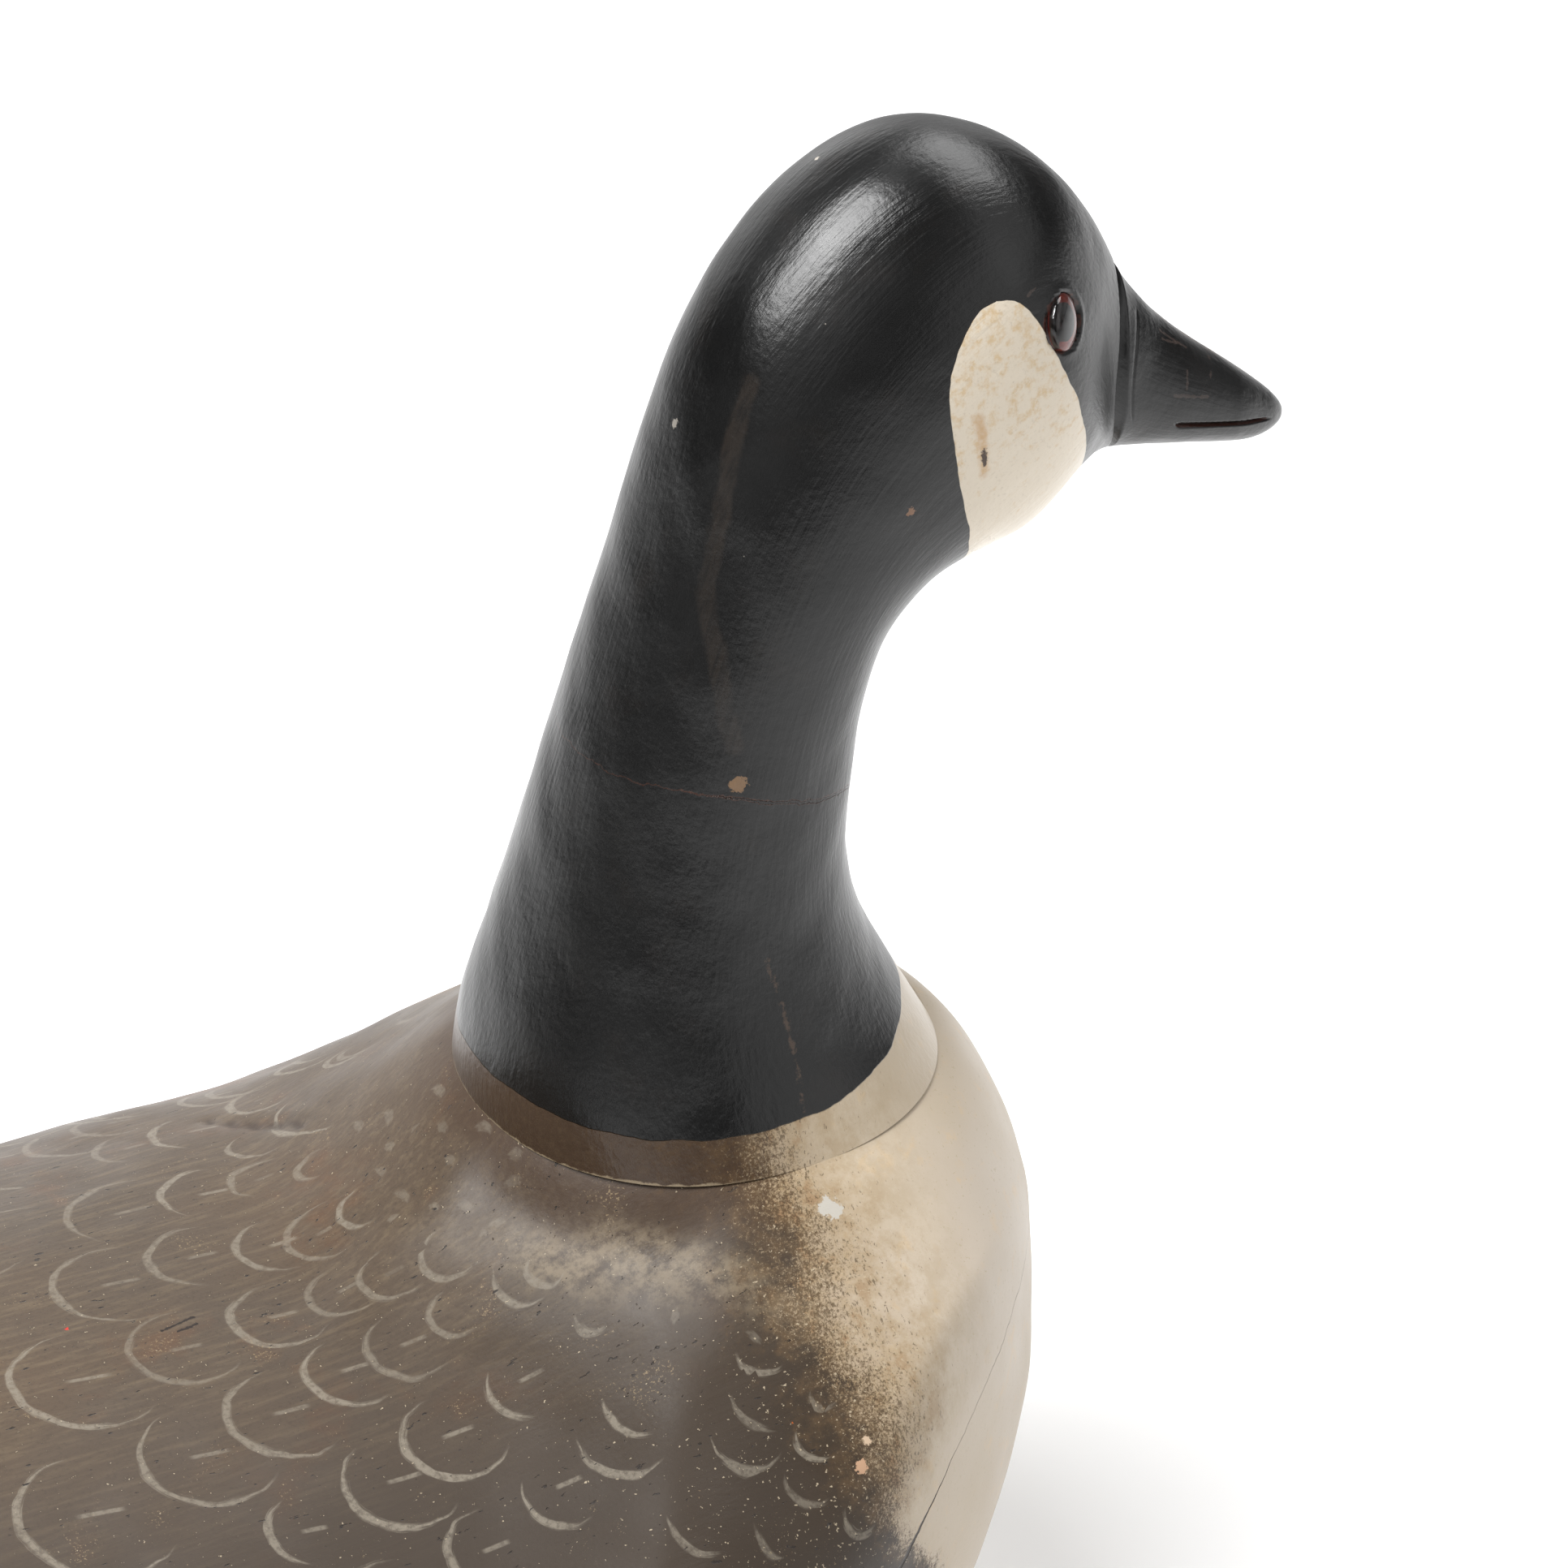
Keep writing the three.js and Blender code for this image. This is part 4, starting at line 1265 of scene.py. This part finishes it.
def hind_end(tree, place, colour):
    """Lays the cream under the tail, the black tail and the bare wood of the underside over a colour."""
    x, _, z = node(tree, "SeparateXYZ", place, output=ALL)
    wander = node(tree, "Math.MULTIPLY", blotches(tree, place, 18, 5.0, 0.65), 14.0)
    ahead = node(tree, "Math.ADD", x, wander)
    height = node(tree, "Math.ADD", z, wander)
    vent = node(tree, "MapRange", height, VENT_HEIGHT, VENT_HEIGHT + 4, 1.0, 0.0, **SOFT)
    vent = within(tree, vent, (ahead, VENT_X, VENT_X + 14, 1.0, 0.0))
    grain = blotches(tree, place, 1.2, 4.0, 0.6, (0.04, 1, 1))
    wood = layered(tree, linear("#8c7559"), ("#6e5840", grain, 0.35, 0.65))
    return layered(
        tree,
        colour,
        ("#c6b8a2", vent),
        ("#141312", ahead, TAIL_BLACK_X, TAIL_BLACK_X + 3, 1.0, 0.0),
        (wood, z, 0.15 - SEAT[2], 0.4 - SEAT[2], 1.0, 0.0),
    )


def body_paint(settings):
    """Oil paint brushed on carved wood, decades old: satin brown and cream, thin, stained and specked."""
    material, tree = new_material("brown_and_cream_oil_paint_on_carved_wood")
    place = object_place(tree)
    x, y, _ = node(tree, "SeparateXYZ", place, output=ALL)
    cut, check, edge = (
        node(tree, "Attribute", output=2, attribute_name=name)
        for name in ("knife_cut", "breast_check", "breast_edge")
    )
    colour, height, over = field_paint(tree, place, settings, False)
    strokes = (feather_stroke(tree, which, place) for which in ("first", "second"))
    strokes = node(tree, "Math.MAXIMUM", *strokes)
    dry = blotches(tree, place, 1.1, 3.0, 0.7)
    strokes = within(tree, strokes, (dry, 0.3, 0.6, 0.35, 0.9), (over,))
    grime = blotches(tree, place, 0.55, 3.0, 0.7)
    rubbed = ragged(tree, grime, 0.7, place, 13, 4.0, 0.6)
    flank = node(tree, "MapRange", y, -90.0, -40.0, 25.0, -5.0, **SOFT)
    flank = node(tree, "Math.ADD", x, flank)
    flank = node(tree, "MapRange", flank, -45.0, 5.0, 0.1, 0.85, **SOFT)
    flecks = blotches(tree, place, 0.9, 2.0, 0.7)
    flecks = node(tree, "Math.MULTIPLY_ADD", flank, 0.08, flecks)
    pits = blotches(tree, place, 1.3, 3.0, 0.55, (0.45, 1.2, 1.0))
    pits = node(tree, "MapRange", pits, 0.69, 0.72, **SOFT)
    pits = within(tree, pits, (edge, -12.0, 0.0, 1.0, 0.0))
    colour = layered(
        tree,
        colour,
        (settings.stroke, strokes),
        ("#8f7c5e", within(tree, over, (rubbed, 1.05, 1.13, 0.0, 0.55))),
        ("#a89a82", flecks, 0.71, 0.75, 0.0, 0.75),
        ("#241c16", pits),
        *(("#1f1610", scored(tree, place, *slit, 0.3)) for slit in BODY_SLITS),
        # the knife cut painted darker: partly darker paint, partly painted shade in its hollow
        ("#2b1e15", cut, 0.25, 0.8, 0.0, 0.65),
    )
    colour = hind_end(tree, place, colour)
    half = node(tree, "MapRange", x, -12.0, 14.0, 0.5, -0.02, **SOFT)
    check = hairline(tree, check, half, 2.4, place, 6, 4.0, 0.6)
    check = node(tree, "MapRange", check, -0.16, 0.12, **SOFT)
    colour = layered(
        tree,
        colour,
        *((paint, spot(tree, place, centre, radius, 0.9)) for centre, radius, paint in BODY_SPOTS),
        ("#2a201a", check),
    )
    for value, rise in ((check, -0.5), (pits, -0.25)):
        height = node(tree, "Math.MULTIPLY_ADD", value, rise, height)
    roughness = node(tree, "MapRange", blotches(tree, place, 18, 3.0), 0.3, 0.7, 0.4, 0.52, **SOFT)
    finish_paint(tree, colour, roughness, height, 0.3, 0.08)
    return material


def neck_paint(settings, body_settings):
    """Black oil paint brushed along carved wood, satin and slightly worn, with cream cheek patches, and
    the body's brown and cream below the collar."""
    material, tree = new_material("black_oil_paint_on_carved_wood")
    place = object_place(tree)
    x, _, z = node(tree, "SeparateXYZ", place, output=ALL)
    brushing = node(tree, "Attribute", output=1, attribute_name="brushing")
    drip, rub, eye, cheek, stained, ridge, mouth, groove, collar, crack = (
        node(tree, "Attribute", output=2, attribute_name=name) for name in NECK_FIELDS
    )
    wear = blotches(tree, place, 14, 5.0, 0.6)
    streaks = blotches(tree, brushing, 1.0, 3.0, 0.6, (0.06, 0.9, 0.9))
    drip = ragged(tree, drip, 2.6, place, 5, 4.0, 0.6)
    drip = node(tree, "MapRange", drip, 2.4, 3.7, 1.0, 0.0, **SOFT)
    runs = blotches(tree, brushing, 1.3, 3.0, 0.6, (0.08, 1, 1))
    rub = ragged(tree, rub, 4.0, place, 2.0, 4.0, 0.7)
    rim = ragged(tree, eye, 1.6, place, 1.2, 4.0, 0.6)
    ridge = node(tree, "Math.MULTIPLY", ridge, blotches(tree, place, 2.5, 5.0, 0.7))
    black = layered(
        tree,
        settings.black,
        ("#120e0b", wear, 0.52, 0.75, 0.0, 0.6),
        ("#0f0f0f", streaks, 0.5, 0.8, 0.0, 0.3),
        ("#211c18", within(tree, drip, (runs, 0.3, 0.65, 0.25, 0.85))),
        ("#4a3a2e", rub, 1.9, 2.7, 0.7, 0.0),
        ("#77716a", specks(tree, place, 9.0, 0.22, 0.3)),
        *((paint, spot(tree, place, centre, radius, 0.9)) for centre, radius, paint in NECK_SPOTS),
        ("#3a1f17", rim, SOCKET_RADIUS + 0.9, SOCKET_RADIUS + 1.3, 1.0, 0.0),
        *(
            ("#453a35", node(tree, "Math.MULTIPLY", scored(tree, place, *scratch, 0.28), 0.6))
            for scratch in BILL_SCRATCHES
        ),
        ("#4f3a2e", ridge, 0.3, 0.62, 0.0, 0.6),
        ("#3b1d14", mouth, 0.1, 0.3),
        ("#1c0d08", mouth, 0.5, 0.9),
        # painted shade deepening the groove between head and bill
        ("#030303", groove, 0.5, 1.6),
    )
    fleck = node(tree, "MapRange", z, 112.0, 145.0, -0.09, 0.03, **SOFT)
    fleck = ragged(tree, fleck, 1.0, place, 2.2, 5.0, 0.65)
    grime = blotches(tree, place, 0.8, 5.0, 0.75)
    stained = ragged(tree, stained, 2.6, place, 1.6, 4.0, 0.6)
    cream = layered(
        tree,
        settings.cheek,
        ("#c6a673", fleck, 0.48, 0.7, 0.0, 0.65),
        ("#a08f78", grime, 0.52, 0.78, 0.0, 0.45),
        ("#b98f58", stained, 1.2, 3.0, 0.75, 0.0),
        ("#3a2413", scored(tree, place, *PATCH_SLIT, 0.5)),
    )
    cheek = ragged(tree, cheek, 1.4, place, 7, 2.0)
    cheek = node(tree, "MapRange", cheek, 0.62, 0.82, **SOFT)
    above = ragged(tree, collar, 1.6, place, 8, 3.0)
    above = node(tree, "MapRange", above, 0.7, 0.9, **SOFT)
    lifted = ragged(tree, z, 2.0, place, 3.0, 5.0, 0.7)
    lifted = node(tree, "MapRange", lifted, 1.1, 1.5, 1.0, 0.0, **SOFT)
    half = node(tree, "MapRange", x, -20.0, 8.0, -0.1, settings.crack, **SOFT)
    crack = hairline(tree, crack, half, 3.0, place, 5, 5.0, 0.7)
    opened = node(tree, "MapRange", crack, -0.04, 0.1, **SOFT)
    colour = layered(
        tree,
        field_paint(tree, place, body_settings, True)[0],
        (JOINT_FLAKE[2], spot(tree, place, *JOINT_FLAKE[:2])),
        ("#8c7d66", within(tree, lifted, (x, -22.0, -8.0, 0.8, 0.0))),
        (layered(tree, black, (cream, cheek)), above),
        ("#47281a", crack, -0.25, 0.0, 0.0, 0.8),
        ("#120906", opened),
    )
    height = node(tree, "Math.MULTIPLY", streaks, 0.11)
    pebble = blotches(tree, place, 1.6, 4.0, 0.6)
    for value, rise in ((pebble, 0.09), (opened, -0.5), (above, 0.12), (cheek, 0.05)):
        height = node(tree, "Math.MULTIPLY_ADD", value, rise, height)
    roughness = node(tree, "MapRange", blotches(tree, place, 20, 3.0), 0.3, 0.7, 0.27, 0.35, **SOFT)
    finish_paint(tree, colour, roughness, height, 0.5, 0.0)
    return material


def eye_glass():
    """Clear moulded glass: see-through, with a sharp gloss."""
    material, tree = new_material("clear_moulded_glass")
    named = {"Base Color": (1, 1, 1, 1), "Roughness": 0.03, "IOR": 1.5, "Transmission Weight": 1.0}
    node(tree, "OutputMaterial", node(tree, "BsdfPrincipled", named=named), output=ALL)
    return material


def iris_paint(settings):
    """Enamel painted behind the glass: a black pupil in a dark red-brown iris."""
    material, tree = new_material("enamel_painted_behind_glass")
    radius = node(tree, "Attribute", output=2, attribute_name="eye_radius")
    place = object_place(tree)
    radius = ragged(tree, radius, 0.05, place, 1.0, 2.0)
    rays = blotches(tree, place, 0.6, 3.0)
    colour = layered(
        tree,
        settings.iris,
        ("#9c3520", rays, 0.4, 0.7, 0.0, 0.6),
        ("#2a0f09", radius, 0.9, 0.99),
        ("#050505", radius, settings.pupil + 0.02, settings.pupil + 0.05, 1.0, 0.0),
    )
    named = {"Base Color": colour, "Roughness": 0.3}
    node(tree, "OutputMaterial", node(tree, "BsdfPrincipled", named=named), output=ALL)
    return material


# Stage: the camera's place follows from its angle, its distance and the point it looks at.
CAMERA_AZIMUTH = -31
CAMERA_ELEVATION = 32
CAMERA_DISTANCE = 1030
CAMERA_TARGET = (21.2, 0.0, 51.7)  # from the seat's middle
CAMERA_LENS = 126.7
SENSOR = 36
FLOOR_SIDE = 9.0  # metres
LAMP_DISTANCE = 1600
# Lamps round the decoy: name, azimuth, elevation, width and height in metres, share of the power.
LAMPS = (
    ("softbox_high", -95, 70, 0.8, 0.7, 0.87),
    ("softbox_low", -95, 49, 0.75, 0.65, 0.7),
    ("softbox_right", 112, 52, 1.3, 0.9, 0.6),
)


def direction(azimuth, elevation):
    """Unit vector towards an azimuth, counted from −Y towards +X, and an elevation, in degrees."""
    a, e = np.radians(azimuth), np.radians(elevation)
    return np.array([np.sin(a) * np.cos(e), -np.cos(a) * np.cos(e), np.sin(e)])


def aimed(obj, place, target):
    """Puts an object at a place, looking at a target, both in mm."""
    obj.location = Vector(place) * MM
    obj.rotation_mode = "QUATERNION"
    obj.rotation_quaternion = Vector(np.subtract(target, place)).to_track_quat("-Z", "Y")
    bpy.context.scene.collection.objects.link(obj)


# The white room's brighter parts: azimuth, elevation and brightness of each, chosen after a fit to tones
# of the photograph, as the lamps were.
ROOM_LOBES = (
    (-180, 14, 1.55),
    (150, 10, 0.9),
    (30, 8, 1.3),
    (-60, 32, 0.65),
    (-30, 32, 0.45),
    (60, 32, 0.9),
)
LOBE_EDGE = 0.848  # cosine of the angle at which a bright part has faded out
LOBE_MIDDLE = 0.985
ROOM_BASE = 0.04


def room_light(settings):
    """World light: a studio with a few soft bright parts, such as white walls catch from the lamps."""
    world = bpy.data.worlds.new("studio_room")
    bpy.context.scene.world = world
    world.use_nodes = True
    tree = world.node_tree
    tree.nodes.clear()
    way = node(tree, "TexCoord", output=0)
    level = ROOM_BASE
    for azimuth, elevation, gain in ROOM_LOBES:
        toward = tuple(direction(azimuth, elevation))
        lobe = node(tree, "VectorMath.DOT_PRODUCT", way, toward, output=1)
        lobe = node(tree, "MapRange", lobe, LOBE_EDGE, LOBE_MIDDLE, 0.0, gain, **SOFT)
        level = node(tree, "Math.ADD", lobe, level)
    level = node(tree, "Math.MULTIPLY", level, settings.room)
    node(tree, "OutputWorld", node(tree, "Background", named={"Strength": level}), output=ALL)


def floor_finish(settings):
    """Matt white studio floor."""
    material, tree = new_material("matt_white_floor")
    place = node(tree, "TexCoord", output=3)
    shade = node(tree, "TexNoise", place, named={"Scale": 1.3, "Detail": 2.0})
    colour = layered(tree, settings.floor, ("#dedede", shade, 0.3, 0.7, 0.0, 0.04))
    named = {"Base Color": colour, "Roughness": 0.9, "Specular IOR Level": 0.1}
    node(tree, "OutputMaterial", node(tree, "BsdfPrincipled", named=named), output=ALL)
    return material


class DECOY_OT_stage(bpy.types.Operator):
    """Lays the pale floor and sets the lights and the camera"""

    bl_idname = "decoy.stage"
    bl_label = "Stage"

    def execute(self, context):
        scene = context.scene
        settings = scene.decoy_stage
        half = FLOOR_SIDE / 2
        mesh = bpy.data.meshes.new("floor")
        corners = [(-half, -half, 0), (half, -half, 0), (half, half, 0), (-half, half, 0)]
        mesh.from_pydata(corners, [], [(0, 1, 2, 3)])
        floor = bpy.data.objects.new("floor", mesh)
        scene.collection.objects.link(floor)
        mesh.materials.append(floor_finish(settings))
        target = SEAT + CAMERA_TARGET
        for name, azimuth, elevation, width, height, share in LAMPS:
            lamp = bpy.data.lights.new(name, "AREA")
            lamp.shape = "RECTANGLE"
            lamp.size, lamp.size_y = width, height
            lamp.energy = settings.softbox * share
            place = target + LAMP_DISTANCE * direction(azimuth, elevation)
            aimed(bpy.data.objects.new(name, lamp), place, target)
        camera = bpy.data.cameras.new("camera")
        camera.lens = CAMERA_LENS
        camera.sensor_width = SENSOR
        camera.clip_start, camera.clip_end = 0.01, 50
        eye = bpy.data.objects.new("camera", camera)
        aimed(eye, target + CAMERA_DISTANCE * direction(CAMERA_AZIMUTH, CAMERA_ELEVATION), target)
        scene.camera = eye
        room_light(settings)
        scene.view_settings.view_transform = "Standard"
        return {"FINISHED"}


class DECOY_PT_panel(bpy.types.Panel):
    """Lists the decoy's settings and the buttons that make its pieces"""

    bl_idname = "DECOY_PT_panel"
    bl_label = "Goose decoy"
    bl_space_type = "VIEW_3D"
    bl_region_type = "UI"
    bl_category = "Decoy"

    def draw(self, context):
        for group, operator in PANEL_ROWS:
            box = self.layout.box()
            settings = getattr(context.scene, group)
            for name in settings.__annotations__:
                box.prop(settings, name)
            box.operator(operator)


PANEL_ROWS = (
    ("decoy_body", "decoy.body"),
    ("decoy_neck", "decoy.head_and_neck"),
    ("decoy_eyes", "decoy.eyes"),
    ("decoy_stage", "decoy.stage"),
)
GROUPS = {
    "decoy_body": BodySettings,
    "decoy_neck": NeckSettings,
    "decoy_eyes": EyeSettings,
    "decoy_stage": StageSettings,
}
CLASSES = (
    *GROUPS.values(),
    DECOY_OT_body,
    DECOY_OT_head_and_neck,
    DECOY_OT_eyes,
    DECOY_OT_stage,
    DECOY_PT_panel,
)


def register():
    for cls in CLASSES:
        bpy.utils.register_class(cls)
    for name, group in GROUPS.items():
        setattr(bpy.types.Scene, name, PointerProperty(type=group))


def unregister():
    for name in GROUPS:
        delattr(bpy.types.Scene, name)
    for cls in reversed(CLASSES):
        bpy.utils.unregister_class(cls)


def main():
    register()
    bpy.ops.decoy.body()
    bpy.ops.decoy.head_and_neck()
    bpy.ops.decoy.eyes()
    bpy.ops.decoy.stage()


if __name__ == "__main__":
    main()
